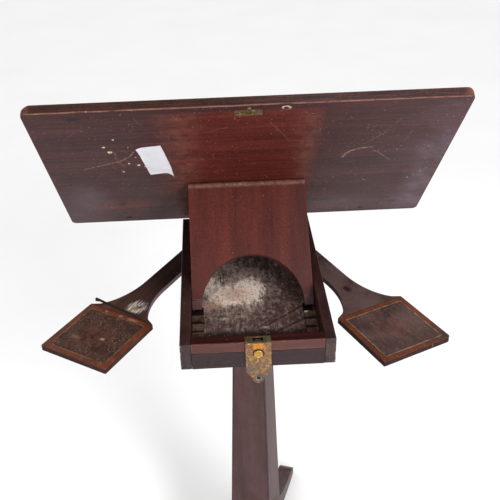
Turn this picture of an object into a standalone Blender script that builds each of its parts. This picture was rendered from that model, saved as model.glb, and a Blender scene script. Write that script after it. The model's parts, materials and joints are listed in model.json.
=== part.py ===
"""Reading table: a tilting top on a shallow tray, with two swing-out candle arms, on a tapered column.

Metres, +Z up. The origin is on the floor under the column's axis. The tray's lock rail faces -Y and the top
is hinged along +Y. Every moving group hangs on an empty that sits on its joint's axis.
"""
import math

import bmesh
import bpy
from mathutils import Matrix, Vector

# Driving dimensions
RIM_HEIGHT = 0.724
TOP_WIDTH = 0.610
TOP_DEPTH = 0.3805
TOP_THICK = 0.014
TOP_TILT = 52.0
TOP_OVERHANG = 0.0045
TOP_LOCK_OVERHANG = 0.014
HINGE_STAND_OFF = 0.0035
TRAY_WIDTH = 0.220
TRAY_HEIGHT = 0.044
SIDE_THICK = 0.0155
LOCK_RAIL_THICK = 0.0175
HINGE_RAIL_THICK = 0.016
FLOOR_THICK = 0.0075
PADDLE_SIDE = 0.120
ARM_THICK = 0.009
ARM_BAR_WIDTH = 0.036
LEFT_ARM_SWING = 32.0
RIGHT_ARM_SWING = 25.2
COLUMN_SWIVEL = -19.0
COLUMN_TOP_SIDE = 0.0502
COLUMN_FOOT_SIDE = 0.0815
COLUMN_FOOT_HEIGHT = 0.095
LEG_REACH = 0.262
LEG_THICK = 0.030

# Clearances
GAP = 0.0003
RUNNING = 0.0004
PROP_SIDE_PLAY = 0.0012
PROP_END_PLAY = 0.0025

# Tray, in its own frame with the rim at zero height. Its depth follows from the top that closes it
TRAY_DEPTH = TOP_DEPTH - TOP_OVERHANG - TOP_LOCK_OVERHANG - HINGE_STAND_OFF
HALF_W = TRAY_WIDTH / 2
HALF_D = TRAY_DEPTH / 2
INNER_HALF_W = HALF_W - SIDE_THICK
LOCK_FACE_Y = -HALF_D
LOCK_INNER_Y = -HALF_D + LOCK_RAIL_THICK
HINGE_INNER_Y = HALF_D - HINGE_RAIL_THICK
FLOOR_LIFT = 0.0015
FLOOR_LOW = -TRAY_HEIGHT + FLOOR_LIFT
FLOOR_TOP = FLOOR_LOW + FLOOR_THICK
FLOOR_TONGUE = 0.005
LIP_THICK = 0.0022
LIP_HEIGHT = 0.016

# Top and its hinges
HINGE_Y = HALF_D + HINGE_STAND_OFF
TOP_FREE_Y = TOP_OVERHANG - TOP_DEPTH
UNDERSIDE = GAP
TOP_CORNER = 0.0085
HINGE_X = 0.070
HINGE_LENGTH = 0.044
HINGE_LEAF_DEPTH = 0.016
HINGE_LEAF_LOW = 0.0002
HINGE_LEAF_HIGH = 0.0017
BARREL_RADIUS = 0.0026
BARREL_MIDDLE = 0.0154
HINGE_PIN_RADIUS = 0.001
HINGE_SCREW_X = 0.0145
HINGE_SCREW_Y = 0.0105

# Prop board
PROP_THICK = 0.0095
PROP_BEAD_RADIUS = 0.0055
PROP_AXIS_DROP = 0.006
PROP_AXIS_REACH = 0.140
PROP_LENGTH = HINGE_Y - LOCK_INNER_Y - PROP_END_PLAY - PROP_AXIS_REACH
PROP_HALF_W = INNER_HALF_W - PROP_SIDE_PLAY
PROP_FOOT_WIDTH = 0.0138
PROP_ARCH_RISE = 0.084
PROP_TOE_LENGTH = 0.0155
PROP_TOE_THICK = 0.0055
PROP_PIN_RADIUS = 0.0015
BRACKET_X = 0.060
BRACKET_WIDTH = 0.014
BRACKET_LENGTH = 0.0205
BRACKET_STAND_OFF = 0.0075
BRACKET_DROP = 0.003
BRACKET_EYE_RADIUS = 0.0026
BRACKET_TONGUE_THICK = 0.0024

# Ratchet strips
RATCHET_WIDTH = 0.0176
RATCHET_BASE = 0.0015
TOOTH_HEIGHT = 0.0035
TOOTH_PITCH = 0.021
RATCHET_CREST = FLOOR_TOP + GAP + RATCHET_BASE + TOOTH_HEIGHT

# Catch, measured inwards from the lock rail's face
CATCH_THICK = 0.0015
CATCH_HALF_W = 0.0184
CATCH_SHOULDER = 0.0515
CATCH_TIP_CENTRE = 0.0647
CATCH_TIP_RADIUS = 0.0083
CATCH_FLANGE_DEPTH = 0.0140
BUTTON_DROP = 0.0195
BUTTON_RADIUS = 0.0073
BUTTON_PROUD = 0.0044
BUTTON_ROOT = 0.0015
BUTTON_TRAVEL = 0.0024
MORTISE_HALF_W = 0.0092
MORTISE_FRONT = 0.004
MORTISE_BACK = 0.016
MORTISE_DROP = 0.030
LATCH_FRONT = 0.0088
LATCH_BACK = 0.0104
SPRING_THICK = 0.0005
STAPLE_DEPTH = 0.0058
STAPLE_THICK = 0.0018
STAPLE_HALF_W = 0.0062
STAPLE_LEG = 0.0016
STAPLE_BAR = 0.0012
STAPLE_DROP = 0.0034
SLOT_FRONT = 0.0022
SLOT_BACK = 0.0118
SLOT_SIDE_PLAY = 0.0013
HOOK_HALF_W = 0.0035
HOOK_TIP = 0.0049
HOOK_RISER = 0.0070
HOOK_BACK = 0.0082

# Candle arms, in the folded position pointing at the lock rail
ARM_PIVOT_INSET_X = 0.0065
ARM_PIVOT_INSET_Y = 0.00475
ARM_PIVOT_X = INNER_HALF_W - ARM_PIVOT_INSET_X
ARM_PIVOT_Y = HINGE_INNER_Y - ARM_PIVOT_INSET_Y
ARM_TOP = -TRAY_HEIGHT - 0.0032
ARM_STRAIGHT = 0.133
ARM_NECK_END = 0.225
ARM_END = ARM_NECK_END + PADDLE_SIDE
VENEER_THICK = 0.0008
BANDING_WIDTH = 0.0085
STRINGING_WIDTH = 0.0012
PIVOT_RADIUS = 0.0028

# Column, bearer and legs
BEARER_HALF_X = 0.045
BEARER_HALF_Y = 0.044
BEARER_LOW = -0.0637
BEARER_SCREW_X = 0.034
BEARER_SCREW_LENGTH = 0.027
COLUMN_TOP_HEIGHT = RIM_HEIGHT + BEARER_LOW - GAP
SWIVEL_RADIUS = 0.0127
SWIVEL_SOCKET_DEPTH = 0.049
LEG_TOP_HEIGHT = 0.205
LEG_ROOT_HEIGHT = 0.108
LEG_TOE_HEIGHT = 0.026
LEG_SOLE_LENGTH = 0.040
LEG_UPPER_BEND = (0.072, 0.045)
LEG_LOWER_BEND = (0.084, 0.010)
LEG_NOSE = 0.014
TENON_LOW_SHOULDER = 0.010
TENON_TOP_SHOULDER = 0.016
TENON_DEPTH = 0.012
TENON_THICK = 0.012

# Book rest
BOOK_REST_HALF = 0.220
BOOK_REST_HEIGHT = 0.022
BOOK_REST_THICK = 0.008
BOOK_REST_Y = -0.0125
BOOK_PEG_X = 0.203
BOOK_PEG_WIDTH = 0.0082
BOOK_PEG_THICK = 0.0034
BOOK_PEG_SHORT = 0.0025

# Colour, roughness and metallic value of each finish
MAHOGANY = ((0.080, 0.032, 0.022), 0.42, 0.0)
RED_MAHOGANY = ((0.150, 0.055, 0.035), 0.45, 0.0)
DARK_WOOD = ((0.045, 0.026, 0.020), 0.45, 0.0)
PALE_BOARD = ((0.200, 0.150, 0.110), 0.75, 0.0)
BANDING_WOOD = ((0.260, 0.110, 0.045), 0.40, 0.0)
BOXWOOD = ((0.420, 0.330, 0.200), 0.45, 0.0)
BRASS = ((0.460, 0.300, 0.120), 0.38, 1.0)
STEEL = ((0.220, 0.200, 0.180), 0.45, 1.0)


def clear_scene():
    for thing in list(bpy.data.objects):
        bpy.data.objects.remove(thing, do_unlink=True)


def collection(name):
    made = bpy.data.collections.new(name)
    bpy.context.scene.collection.children.link(made)
    return made


clear_scene()
PARTS = collection("reading_table")
CUTTERS = collection("cutters")


def group(name, location, turn=(0.0, 0.0, 0.0), parent=None):
    """An empty on a joint's axis, with the turn of the resting pose in degrees."""
    empty = bpy.data.objects.new(name, None)
    empty.location = location
    empty.rotation_euler = [math.radians(angle) for angle in turn]
    empty.empty_display_size = 0.02
    empty.parent = parent
    PARTS.objects.link(empty)
    return empty


def material(name, finish):
    colour, roughness, metallic = finish
    made = bpy.data.materials.new(name)
    made.use_nodes = True
    shader = made.node_tree.nodes["Principled BSDF"]
    shader.inputs["Base Color"].default_value = (*colour, 1.0)
    shader.inputs["Roughness"].default_value = roughness
    shader.inputs["Metallic"].default_value = metallic
    return made


def add_object(name, mesh, parent, finish=None):
    """Links a mesh as a sub-part, or as a cutter when it has no finish."""
    made = bpy.data.objects.new(name, mesh)
    made.parent = parent
    if finish is None:
        made.hide_render = True
        made.display_type = "WIRE"
        CUTTERS.objects.link(made)
    else:
        mesh.materials.append(material(name, finish))
        PARTS.objects.link(made)
    return made


def mesh_from(shape, name):
    mesh = bpy.data.meshes.new(name)
    bmesh.ops.recalc_face_normals(shape, faces=shape.faces)
    shape.to_mesh(mesh)
    shape.free()
    return mesh


def block(name, low, high, parent, finish=None, bevel=0.0):
    """A box from its low corner to its high corner."""
    size = [b - a for a, b in zip(low, high)]
    middle = [(a + b) / 2 for a, b in zip(low, high)]
    shape = bmesh.new()
    bmesh.ops.create_cube(shape, size=1.0, matrix=Matrix.Translation(middle) @ Matrix.Diagonal((*size, 1.0)))
    made = add_object(name, mesh_from(shape, name), parent, finish)
    if bevel:
        soften(made, bevel)
    return made


def soften(made, width, segments=1):
    edge = made.modifiers.new("softened edges", "BEVEL")
    edge.width = width
    edge.segments = segments
    edge.limit_method = "ANGLE"


def rod(name, radius, start, end, parent, finish=None, segments=16):
    """A cylinder between two points."""
    start = Vector(start)
    end = Vector(end)
    along = end - start
    turn = along.to_track_quat("Z", "Y").to_matrix().to_4x4()
    place = Matrix.Translation((start + end) / 2) @ turn
    shape = bmesh.new()
    bmesh.ops.create_cone(shape, cap_ends=True, segments=segments, radius1=radius, radius2=radius,
                          depth=along.length, matrix=place)
    made = add_object(name, mesh_from(shape, name), parent, finish)
    round_shading(made)
    return made


def round_shading(made):
    made.data.shade_smooth()
    made.data.set_sharp_from_angle(angle=math.radians(35))


# Frames that carry a flat outline: its first axis, its second axis and the way its thickness runs
FLAT = Matrix(((1, 0, 0), (0, 1, 0), (0, 0, 1))).to_4x4()
FACING_X = Matrix(((0, 0, 1), (1, 0, 0), (0, 1, 0))).to_4x4()
FACING_Y = Matrix(((1, 0, 0), (0, 0, -1), (0, 1, 0))).to_4x4()


def outline(name, loops, thickness, centre, plane, parent, finish=None):
    """A flat outline with holes, as a filled 2D curve turned into a welded mesh."""
    curve = bpy.data.curves.new(name, "CURVE")
    curve.dimensions = "2D"
    curve.fill_mode = "BOTH"
    curve.extrude = thickness / 2
    for loop in loops:
        spline = curve.splines.new("POLY")
        spline.points.add(len(loop) - 1)
        for point, (a, b) in zip(spline.points, loop):
            point.co = (a, b, 0.0, 1.0)
        spline.use_cyclic_u = True
    flat = bpy.data.objects.new(name + "_outline", curve)
    PARTS.objects.link(flat)
    graph = bpy.context.evaluated_depsgraph_get()
    mesh = bpy.data.meshes.new_from_object(flat.evaluated_get(graph))
    bpy.data.objects.remove(flat, do_unlink=True)
    shape = bmesh.new()
    shape.from_mesh(mesh)
    bpy.data.meshes.remove(mesh)
    bmesh.ops.remove_doubles(shape, verts=shape.verts, dist=1e-6)
    bmesh.ops.transform(shape, matrix=Matrix.Translation(centre) @ plane, verts=shape.verts)
    return add_object(name, mesh_from(shape, name), parent, finish)


def turned(name, profile, place, parent, finish=None, steps=12):
    """A turned solid. The profile runs down its outer side as (radius, height), from axis to axis."""
    mesh = bpy.data.meshes.new(name)
    edges = [(i, i + 1) for i in range(len(profile) - 1)]
    mesh.from_pydata([(r, 0.0, h) for r, h in profile], edges, [])
    made = add_object(name, mesh, parent, finish)
    made.matrix_local = place
    spin = made.modifiers.new("turned", "SCREW")
    spin.axis = "Z"
    spin.steps = steps
    spin.render_steps = steps
    spin.use_merge_vertices = True
    spin.merge_threshold = 1e-5
    spin.use_smooth_shade = False
    return made


def cut(target, *cutters):
    for cutter in cutters:
        remove = target.modifiers.new("cut " + cutter.name, "BOOLEAN")
        remove.operation = "DIFFERENCE"
        remove.solver = "EXACT"
        remove.object = cutter


def fuse(target, *others):
    for other in others:
        add = target.modifiers.new("join " + other.name, "BOOLEAN")
        add.operation = "UNION"
        add.solver = "EXACT"
        add.object = other


def arc(centre, radius, start, end, steps):
    """Points on an arc between two angles in degrees, ends included."""
    points = []
    for i in range(steps + 1):
        angle = math.radians(start + (end - start) * i / steps)
        points.append((centre[0] + radius * math.cos(angle), centre[1] + radius * math.sin(angle)))
    return points


def rectangle(half_x, low_y, high_y):
    return [(-half_x, low_y), (half_x, low_y), (half_x, high_y), (-half_x, high_y)]


def pointing(location, direction):
    """The place of a turned piece whose top faces the given direction."""
    turn = Vector(direction).to_track_quat("Z", "Y").to_matrix().to_4x4()
    return Matrix.Translation(location) @ turn


def wood_screw(name, location, direction, head, shank, length, parent):
    """A countersunk screw with its head's face at the location, and the cutter for its hole."""
    sink = head - shank
    profile = [(0.0, 0.0), (head, 0.0), (shank, -sink), (shank, -length), (0.0, -length)]
    place = pointing(location, direction)
    made = turned(name, profile, place, parent, STEEL, steps=10)
    room = GAP
    hole = [(0.0, 0.002), (head + room, 0.002), (head + room, 0.0), (shank + room, -sink),
            (shank + room, -length - room), (0.0, -length - room)]
    return made, turned(name + "_hole", hole, place, parent, steps=12)


# Groups on their joint axes
base = group("base_group", (0, 0, 0), (0, 0, COLUMN_SWIVEL))
tray = group("tray_group", (0, 0, RIM_HEIGHT))
top = group("top_group", (0, HINGE_Y, 0), (-TOP_TILT, 0, 0), tray)
PROP_AXIS_Z = UNDERSIDE - PROP_AXIS_DROP
tilt = math.radians(TOP_TILT)


def prop_slope():
    """The prop's slope below level that puts the toe's lower edge just clear of the tooth crests."""
    axis_height = PROP_AXIS_REACH * math.sin(tilt) + PROP_AXIS_Z * math.cos(tilt)
    drop = axis_height - RATCHET_CREST - GAP
    reach = math.hypot(PROP_LENGTH, PROP_THICK / 2)
    return math.asin(drop / reach) - math.atan2(PROP_THICK / 2, PROP_LENGTH)


PROP_SLOPE = prop_slope()
PROP_OPENING = TOP_TILT + math.degrees(PROP_SLOPE)
prop = group("prop_group", (0, -PROP_AXIS_REACH, PROP_AXIS_Z), (PROP_OPENING, 0, 0), top)
PROP_AXIS_Y = HINGE_Y - PROP_AXIS_REACH * math.cos(tilt) + PROP_AXIS_Z * math.sin(tilt)
PROP_FOOT_Y = PROP_AXIS_Y - PROP_LENGTH * math.cos(PROP_SLOPE)
left_arm = group("left_arm_group", (-ARM_PIVOT_X, ARM_PIVOT_Y, ARM_TOP), (0, 0, -LEFT_ARM_SWING), tray)
right_arm = group("right_arm_group", (ARM_PIVOT_X, ARM_PIVOT_Y, ARM_TOP), (0, 0, RIGHT_ARM_SWING), tray)
catch = group("catch_group", (0, LOCK_FACE_Y, -BUTTON_DROP), parent=tray)


def tray_boards():
    """The four walls, the lipping and the floor, with the floor let into grooves."""
    groove = block("floor_groove",
                   (-INNER_HALF_W - FLOOR_TONGUE, LOCK_INNER_Y - FLOOR_TONGUE, FLOOR_LOW - GAP),
                   (INNER_HALF_W + FLOOR_TONGUE, HINGE_INNER_Y + FLOOR_TONGUE, FLOOR_TOP + GAP), tray)
    for name, side in (("left_side", -1), ("right_side", 1)):
        near, far = sorted((side * INNER_HALF_W, side * HALF_W))
        wall = block(name, (near, -HALF_D, -TRAY_HEIGHT), (far, HALF_D, 0), tray, MAHOGANY, bevel=0.0008)
        cut(wall, groove)
    rail_half = INNER_HALF_W - GAP
    lock_rail = block("lock_rail", (-rail_half, LOCK_FACE_Y, -TRAY_HEIGHT), (rail_half, LOCK_INNER_Y, 0),
                      tray, DARK_WOOD)
    rebate = block("lipping_rebate", (-HALF_W, LOCK_FACE_Y - 0.01, -LIP_HEIGHT - GAP),
                   (HALF_W, LOCK_FACE_Y + LIP_THICK + GAP, 0.01), tray)
    lipping = block("lock_rail_lipping", (-rail_half, LOCK_FACE_Y, -LIP_HEIGHT),
                    (rail_half, LOCK_FACE_Y + LIP_THICK, 0), tray, RED_MAHOGANY)
    mortise = block("catch_mortise", (-MORTISE_HALF_W, LOCK_FACE_Y + MORTISE_FRONT, -MORTISE_DROP),
                    (MORTISE_HALF_W, LOCK_FACE_Y + MORTISE_BACK, 0.01), tray)
    bore = rod("button_bore", BUTTON_RADIUS + 2 * RUNNING, (0, LOCK_FACE_Y - 0.01, -BUTTON_DROP),
               (0, LOCK_FACE_Y + MORTISE_FRONT + 0.001, -BUTTON_DROP), tray, segments=24)
    flange_seat = block("flange_seat", (-CATCH_HALF_W - GAP, LOCK_FACE_Y - 0.01, -CATCH_THICK - 2 * GAP),
                        (CATCH_HALF_W + GAP, LOCK_FACE_Y + CATCH_FLANGE_DEPTH + GAP, 0.01), tray)
    cut(lock_rail, rebate, groove, mortise, bore, flange_seat)
    cut(lipping, bore, flange_seat)
    hinge_rail = block("hinge_rail", (-rail_half, HINGE_INNER_Y, -TRAY_HEIGHT), (rail_half, HALF_D, 0),
                       tray, MAHOGANY)
    cut(hinge_rail, groove)
    board = block("tray_floor",
                  (-INNER_HALF_W - FLOOR_TONGUE + GAP, LOCK_INNER_Y - FLOOR_TONGUE + GAP, FLOOR_LOW),
                  (INNER_HALF_W + FLOOR_TONGUE - GAP, HINGE_INNER_Y + FLOOR_TONGUE - GAP, FLOOR_TOP),
                  tray, PALE_BOARD)
    return hinge_rail, board


def ratchet_profile(far_y, near_y, first_crest):
    """Saw teeth with upright faces towards the hinge, as (y, height) above the floor."""
    valley = RATCHET_BASE
    crest = RATCHET_BASE + TOOTH_HEIGHT
    points = [(near_y, 0.0), (far_y, 0.0), (far_y, valley)]
    y = first_crest
    while y > near_y:
        points += [(y, valley), (y, crest)]
        y -= TOOTH_PITCH
    last = y + TOOTH_PITCH
    fall = TOOTH_HEIGHT * (last - near_y) / TOOTH_PITCH
    points.append((near_y, crest - fall))
    return points


def ratchets():
    near_y = LOCK_INNER_Y + GAP
    first_crest = PROP_FOOT_Y - PROP_THICK
    profile = ratchet_profile(first_crest + 1.2 * TOOTH_PITCH, near_y, first_crest)
    middle = INNER_HALF_W - GAP - RATCHET_WIDTH / 2
    for name, x in (("left_ratchet", -middle), ("right_ratchet", middle)):
        outline(name, [profile], RATCHET_WIDTH, (x, 0, FLOOR_TOP + GAP), FACING_X, tray, MAHOGANY)


def top_board():
    corners = []
    for x, y, start in ((1, 1, 0), (-1, 1, 90), (-1, -1, 180), (1, -1, 270)):
        middle = (x * (TOP_WIDTH / 2 - TOP_CORNER),
                  (TOP_OVERHANG - TOP_CORNER) if y > 0 else (TOP_FREE_Y + TOP_CORNER))
        corners += arc(middle, TOP_CORNER, start, start + 90, 4)
    middle = (0, 0, UNDERSIDE + TOP_THICK / 2)
    board = outline("table_top", [corners], TOP_THICK, middle, FLAT, top, MAHOGANY)
    soften(board, 0.0022, 2)
    return board


def hinge_leaf(name, x, parent, sign, knuckles, finish):
    """One leaf with its knuckles: sign is 1 for the leaf let into the top and -1 for the one on the rail."""
    half = HINGE_LENGTH / 2
    clear = BARREL_RADIUS + 2 * GAP
    back = -HINGE_LEAF_DEPTH
    if sign > 0:
        tab = BARREL_MIDDLE / 2
        plan = [(-half, back), (half, back), (half, -clear), (tab, -clear), (tab, 0), (-tab, 0),
                (-tab, -clear), (-half, -clear)]
    else:
        tab = BARREL_MIDDLE / 2 + GAP
        plan = [(-half, back), (half, back), (half, 0), (tab, 0), (tab, -clear), (-tab, -clear),
                (-tab, 0), (-half, 0)]
    thick = HINGE_LEAF_HIGH - HINGE_LEAF_LOW
    height = sign * (HINGE_LEAF_HIGH + HINGE_LEAF_LOW) / 2
    y = 0.0 if sign > 0 else HINGE_Y
    leaf = outline(name, [plan], thick, (x, y, height), FLAT, parent, finish)
    for count, (start, end) in enumerate(knuckles):
        fuse(leaf, rod(f"{name}_knuckle_{count}", BARREL_RADIUS, (x + start, y, 0), (x + end, y, 0), parent))
    cut(leaf, rod(name + "_pin_hole", HINGE_PIN_RADIUS + GAP, (x - 0.03, y, 0), (x + 0.03, y, 0), parent))
    return leaf


def top_hinges(board, hinge_rail):
    half = HINGE_LENGTH / 2
    tab = BARREL_MIDDLE / 2
    outer = [(-half, -tab - GAP), (tab + GAP, half)]
    room = 2 * GAP
    for side, x in (("left", -HINGE_X), ("right", HINGE_X)):
        rail_leaf = hinge_leaf(side + "_hinge_rail_leaf", x, tray, -1, outer, BRASS)
        top_leaf = hinge_leaf(side + "_hinge_top_leaf", x, top, 1, [(-tab, tab)], BRASS)
        rod(side + "_hinge_pin", HINGE_PIN_RADIUS, (x - half, HINGE_Y, 0), (x + half, HINGE_Y, 0), tray,
            STEEL)
        rail_seat = block(side + "_rail_seat",
                          (x - half - GAP, HINGE_Y - HINGE_LEAF_DEPTH - GAP, -HINGE_LEAF_HIGH - GAP),
                          (x + half + GAP, HINGE_Y, 0.01), tray)
        top_seat = block(side + "_top_seat", (x - half - GAP, -HINGE_LEAF_DEPTH - GAP, -0.01),
                         (x + half + GAP, 0, HINGE_LEAF_HIGH + GAP), top)
        barrel_room = rod(side + "_barrel_room", BARREL_RADIUS + room, (x - half - room, 0, 0),
                          (x + half + room, 0, 0), top, segments=20)
        cut(hinge_rail, rail_seat)
        cut(board, top_seat, barrel_room)
        for end, offset in (("a", -HINGE_SCREW_X), ("b", HINGE_SCREW_X)):
            _, hole = wood_screw(f"{side}_hinge_rail_screw_{end}",
                                 (x + offset, HINGE_Y - HINGE_SCREW_Y, -HINGE_LEAF_LOW), (0, 0, 1),
                                 0.0024, 0.0012, 0.009, tray)
            cut(rail_leaf, hole)
            cut(hinge_rail, hole)
            _, hole = wood_screw(f"{side}_hinge_top_screw_{end}",
                                 (x + offset, -HINGE_SCREW_Y, HINGE_LEAF_LOW), (0, 0, -1),
                                 0.0024, 0.0012, 0.009, top)
            cut(top_leaf, hole)
            cut(board, hole)


def keeper(board):
    """A brass plate let into the underside, with a staple that drops into the catch."""
    y = LOCK_FACE_Y + STAPLE_DEPTH - HINGE_Y
    half_x = 0.019
    half_y = 0.007
    thick = 0.0014
    plate = block("keeper_plate", (-half_x, y - half_y, UNDERSIDE), (half_x, y + half_y, UNDERSIDE + thick),
                  top, BRASS)
    seat = block("keeper_seat", (-half_x - GAP, y - half_y - GAP, -0.01),
                 (half_x + GAP, y + half_y + GAP, UNDERSIDE + thick + GAP), top)
    inner = STAPLE_HALF_W - STAPLE_LEG
    high = UNDERSIDE + thick / 2
    low = -STAPLE_DROP
    loop = [(-STAPLE_HALF_W, high), (-STAPLE_HALF_W, low), (STAPLE_HALF_W, low), (STAPLE_HALF_W, high),
            (inner, high), (inner, low + STAPLE_BAR), (-inner, low + STAPLE_BAR), (-inner, high)]
    fuse(plate, outline("keeper_staple", [loop], STAPLE_THICK, (0, y, 0), FACING_Y, top))
    cut(board, seat)
    for side, x in (("left", -0.0135), ("right", 0.0135)):
        _, hole = wood_screw(f"keeper_{side}_screw", (x, y, UNDERSIDE), (0, 0, -1), 0.0022, 0.0012, 0.009,
                             top)
        cut(plate, hole)
        cut(board, hole)


def prop_board():
    arch_half = PROP_HALF_W - PROP_FOOT_WIDTH
    foot = -PROP_LENGTH
    arch = [(arch_half * math.cos(math.radians(a)), foot + PROP_ARCH_RISE * math.sin(math.radians(a)))
            for a in range(0, 181, 9)]
    plan = [(-PROP_HALF_W, 0), (-PROP_HALF_W, foot)] + arch[::-1] + [(PROP_HALF_W, foot), (PROP_HALF_W, 0)]
    board = outline("prop_board", [plan], PROP_THICK, (0, 0, 0), FLAT, prop, MAHOGANY)
    bead = rod("prop_bead", PROP_BEAD_RADIUS, (-PROP_HALF_W, 0, 0), (PROP_HALF_W, 0, 0), prop, segments=20)
    fuse(board, bead)
    face = PROP_THICK / 2
    bevel = [(foot - 0.002, face + 0.002), (foot + PROP_TOE_LENGTH, face + 0.002),
             (foot + PROP_TOE_LENGTH, face), (foot, PROP_TOE_THICK - face),
             (foot - 0.002, PROP_TOE_THICK - face)]
    cut(board, outline("toe_bevel", [bevel], 2 * PROP_HALF_W + 0.01, (0, 0, 0), FACING_X, prop))
    eye_room = BRACKET_EYE_RADIUS + 2 * GAP
    half = BRACKET_WIDTH / 2 + GAP
    for side, x in (("left", -BRACKET_X), ("right", BRACKET_X)):
        cut(board, block(side + "_eye_notch", (x - half, -eye_room, -0.02), (x + half, 0.02, eye_room),
                         prop))
    cut(board, rod("prop_pin_hole", PROP_PIN_RADIUS + RUNNING, (-0.12, 0, 0), (0.12, 0, 0), prop))


def prop_hinge(board):
    """Two brackets under the top, hidden behind the prop, with the pin that the prop turns on."""
    y = -PROP_AXIS_REACH
    half = BRACKET_TONGUE_THICK / 2
    near = BRACKET_STAND_OFF
    far = BRACKET_STAND_OFF + BRACKET_LENGTH
    high = PROP_AXIS_DROP - GAP
    profile = [(0.0, -half), (near, -half), (near, -BRACKET_DROP), (far, -BRACKET_DROP), (far, high),
               (near, high), (near, half), (0.0, half)]
    hole = rod("bracket_pin_hole", PROP_PIN_RADIUS + GAP, (-0.12, y, PROP_AXIS_Z), (0.12, y, PROP_AXIS_Z),
               top)
    wide = BRACKET_WIDTH / 2
    for side, x in (("left", -BRACKET_X), ("right", BRACKET_X)):
        bracket = outline(f"prop_{side}_bracket", [profile], BRACKET_WIDTH, (x, y, PROP_AXIS_Z), FACING_X,
                          top, BRASS)
        fuse(bracket, rod(side + "_bracket_eye", BRACKET_EYE_RADIUS, (x - wide, y, PROP_AXIS_Z),
                          (x + wide, y, PROP_AXIS_Z), top))
        head = (x, y + (near + far) / 2, PROP_AXIS_Z - BRACKET_DROP)
        _, screw_hole = wood_screw(f"prop_{side}_bracket_screw", head, (0, 0, -1), 0.003, 0.0015, 0.018,
                                   top)
        cut(bracket, hole, screw_hole)
        cut(board, screw_hole)
    end = PROP_HALF_W - 0.001
    rod("prop_pin", PROP_PIN_RADIUS, (-end, y, PROP_AXIS_Z), (end, y, PROP_AXIS_Z), top, STEEL)


def catch_outline(inset, top_edge):
    """The plate's face: square shoulders that taper to a round tip."""
    half = CATCH_HALF_W - inset
    tip = CATCH_TIP_RADIUS - inset
    taper = math.degrees(math.atan2(CATCH_TIP_CENTRE - CATCH_SHOULDER, CATCH_HALF_W - CATCH_TIP_RADIUS))
    lower = arc((0, -CATCH_TIP_CENTRE), tip, taper - 90 + 45, taper - 270 + 45 - 2 * (taper - 45), 10)
    upper = [(-half, -CATCH_SHOULDER), (-half, top_edge), (half, top_edge), (half, -CATCH_SHOULDER)]
    return upper + lower


def circle(radius, centre):
    return arc(centre, radius, 0, 345, 23)


def catch_parts():
    front = LOCK_FACE_Y - GAP - CATCH_THICK
    middle = LOCK_FACE_Y - GAP - CATCH_THICK / 2
    hole_radius = 0.0029
    loops = [catch_outline(0.0, -GAP / 2), circle(BUTTON_RADIUS + 2 * RUNNING, (0, -BUTTON_DROP)),
             circle(hole_radius, (0, -CATCH_TIP_CENTRE))]
    plate = outline("catch_plate", loops, CATCH_THICK, (0, middle, 0), FACING_Y, tray, BRASS)
    flange = block("catch_flange", (-CATCH_HALF_W, front, -CATCH_THICK - GAP / 2),
                   (CATCH_HALF_W, LOCK_FACE_Y + CATCH_FLANGE_DEPTH, -GAP / 2), tray)
    fuse(plate, flange)
    slot_half = STAPLE_HALF_W + SLOT_SIDE_PLAY
    slot = block("staple_slot", (-slot_half, LOCK_FACE_Y + SLOT_FRONT, -0.01),
                 (slot_half, LOCK_FACE_Y + SLOT_BACK, 0.01), tray)
    sink = turned("catch_countersink", [(0, 0.001), (0.0055, 0.001), (hole_radius, -0.0011), (0, -0.0011)],
                  pointing((0, front, -CATCH_TIP_CENTRE), (0, -1, 0)), tray, steps=20)
    cut(plate, slot, sink)
    inset = 0.0025
    depth = 0.014
    back = outline("catch_block", [catch_outline(inset, -TRAY_HEIGHT - GAP)], depth,
                   (0, LOCK_FACE_Y + GAP + depth / 2, 0), FACING_Y, tray, DARK_WOOD)
    _, hole = wood_screw("catch_screw", (0, front + 0.0006, -CATCH_TIP_CENTRE), (0, -1, 0),
                         0.0025, 0.0014, 0.012, tray)
    cut(back, hole)
    dome = [(0.0, BUTTON_PROUD)]
    shoulder = BUTTON_PROUD - 0.0032
    for i in range(1, 6):
        angle = math.radians(90 - 18 * i)
        dome.append((BUTTON_RADIUS * math.cos(angle), shoulder + 0.0032 * math.sin(angle)))
    dome += [(BUTTON_RADIUS, -BUTTON_ROOT), (0.0, -BUTTON_ROOT)]
    button = turned("catch_button", dome, pointing((0, 0, 0), (0, -1, 0)), catch, BRASS, steps=24)
    button.modifiers["turned"].use_smooth_shade = True
    latch_top = STAPLE_DROP + 2 * GAP
    latch = block("catch_latch", (-0.008, LATCH_FRONT, BUTTON_DROP - 0.027),
                  (0.008, LATCH_BACK, BUTTON_DROP - latch_top), catch, STEEL)
    bar_top = STAPLE_DROP - STAPLE_BAR - GAP / 2
    hook_top = bar_top - 0.0012
    arm_low = latch_top + 0.0016
    root = LATCH_FRONT + 0.0005
    low, bar, high, shelf = (BUTTON_DROP - drop for drop in (arm_low, bar_top, hook_top, latch_top))
    hook = [(root, low), (HOOK_RISER, low), (HOOK_RISER, bar), (HOOK_TIP, bar), (HOOK_TIP, high),
            (HOOK_BACK, high), (HOOK_BACK, shelf), (root, shelf)]
    nose = outline("latch_hook", [hook], 2 * HOOK_HALF_W, (0, 0, 0), FACING_X, catch)
    stem = rod("latch_stem", 0.003, (0, BUTTON_ROOT + GAP, 0), (0, root, 0), catch)
    fuse(latch, nose, stem)


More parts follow.
